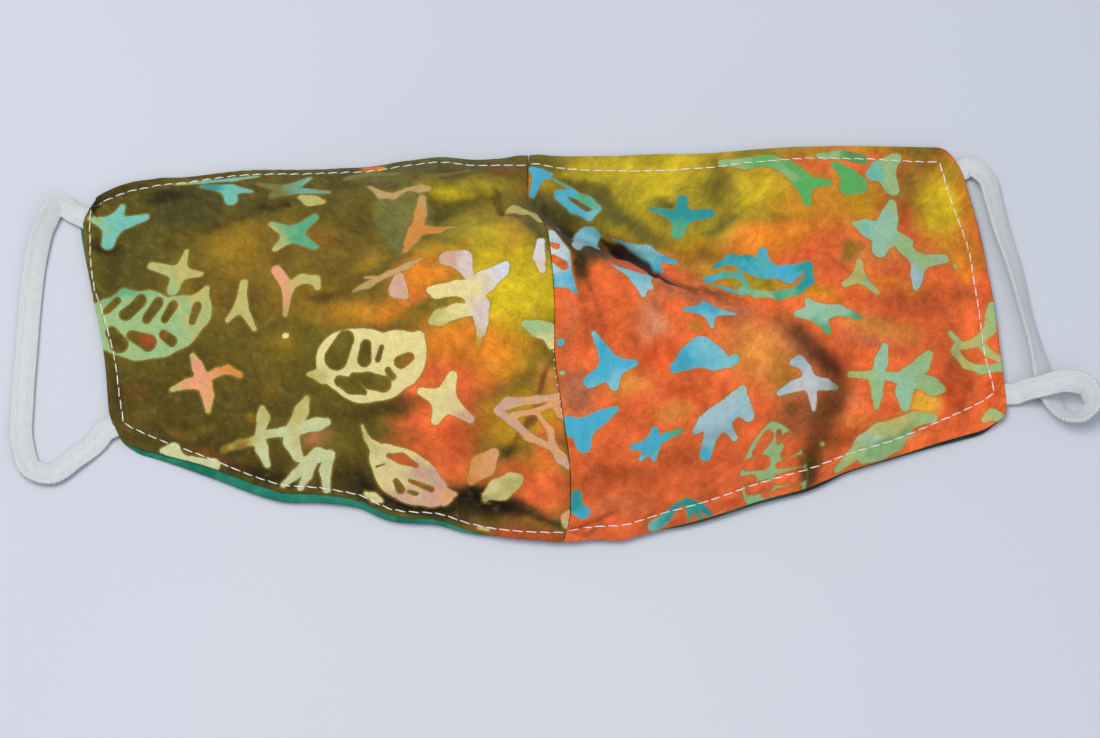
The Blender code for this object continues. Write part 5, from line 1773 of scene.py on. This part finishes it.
def add_floor():
    """The pale table that the mask lies on."""
    material, tree, shader = new_material("pale_table")
    place = node(tree, "ShaderNodeTexCoord").outputs["Object"]
    patch = map_between(tree, noise(tree, place, 2.2, 2.0), 0.3, 0.7)
    colour = mix_colour(tree, "MIX", patch, TINT["table"], TINT["light table"])
    tree.links.new(colour, shader.inputs["Base Color"])
    shader.inputs["Roughness"].default_value = 0.7
    points = np.array([(x, y, -0.0001) for x, y in ((-2, -2), (2, -2), (2, 2), (-2, 2))])
    make_mesh("table", points, [[0, 1, 2, 3]], material)


def add_light(name, place, size, power, colour):
    """A soft square light that faces the mask."""
    data = bpy.data.lights.new(name, "AREA")
    data.size = size
    data.energy = power
    data.color = colour
    light = bpy.data.objects.new(name, data)
    light.location = place
    tilt = math.acos(place[2] / np.linalg.norm(place))
    light.rotation_euler = (tilt, 0.0, math.atan2(place[1], place[0]) + math.pi / 2)
    bpy.context.scene.collection.objects.link(light)


def add_lights():
    """Soft studio light: a pale world, a broad key from above and a low fill."""
    world = bpy.data.worlds.new("studio")
    world.use_nodes = True
    world.node_tree.nodes["Background"].inputs["Color"].default_value = TINT["sky"]
    world.node_tree.nodes["Background"].inputs["Strength"].default_value = 0.50
    bpy.context.scene.world = world
    for row in rows_of(LIGHTS):
        add_light(**row)
    bpy.context.scene.view_settings.view_transform = "Standard"


def plan_shift():
    """The step in plan from the middle of the seam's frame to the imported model's."""
    low, high = [], []
    for name in ("left", "right"):
        half = Half(name)
        up = np.linspace(0, 1, 200)
        outline = np.concatenate([half.plan(up, up * 0), half.plan(up, up * 0 + 1), half.ear(up)])
        low.append(outline.min(axis=0))
        high.append(outline.max(axis=0))
    own = (np.min(low, axis=0) + np.max(high, axis=0)) / 2
    boxes = [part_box("outer_left"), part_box("outer_right")]
    packed_low = np.min([np.array(box[0])[:2] for box in boxes], axis=0)
    packed_high = np.max([np.array(box[1])[:2] for box in boxes], axis=0)
    return (packed_low + packed_high) / 2 - own


SHIFT = plan_shift()

add_camera()
add_floor()
add_lights()
thread = thread_material()
elastic = elastic_material()
outers = []
for name in ("left", "right"):
    lining, lining_surface = lining_panel(name)
    outer, *outer_cloth = outer_panel(name)
    outers.append(outer_cloth)
    ear_band(name, elastic)
top_stitching(outers, thread)
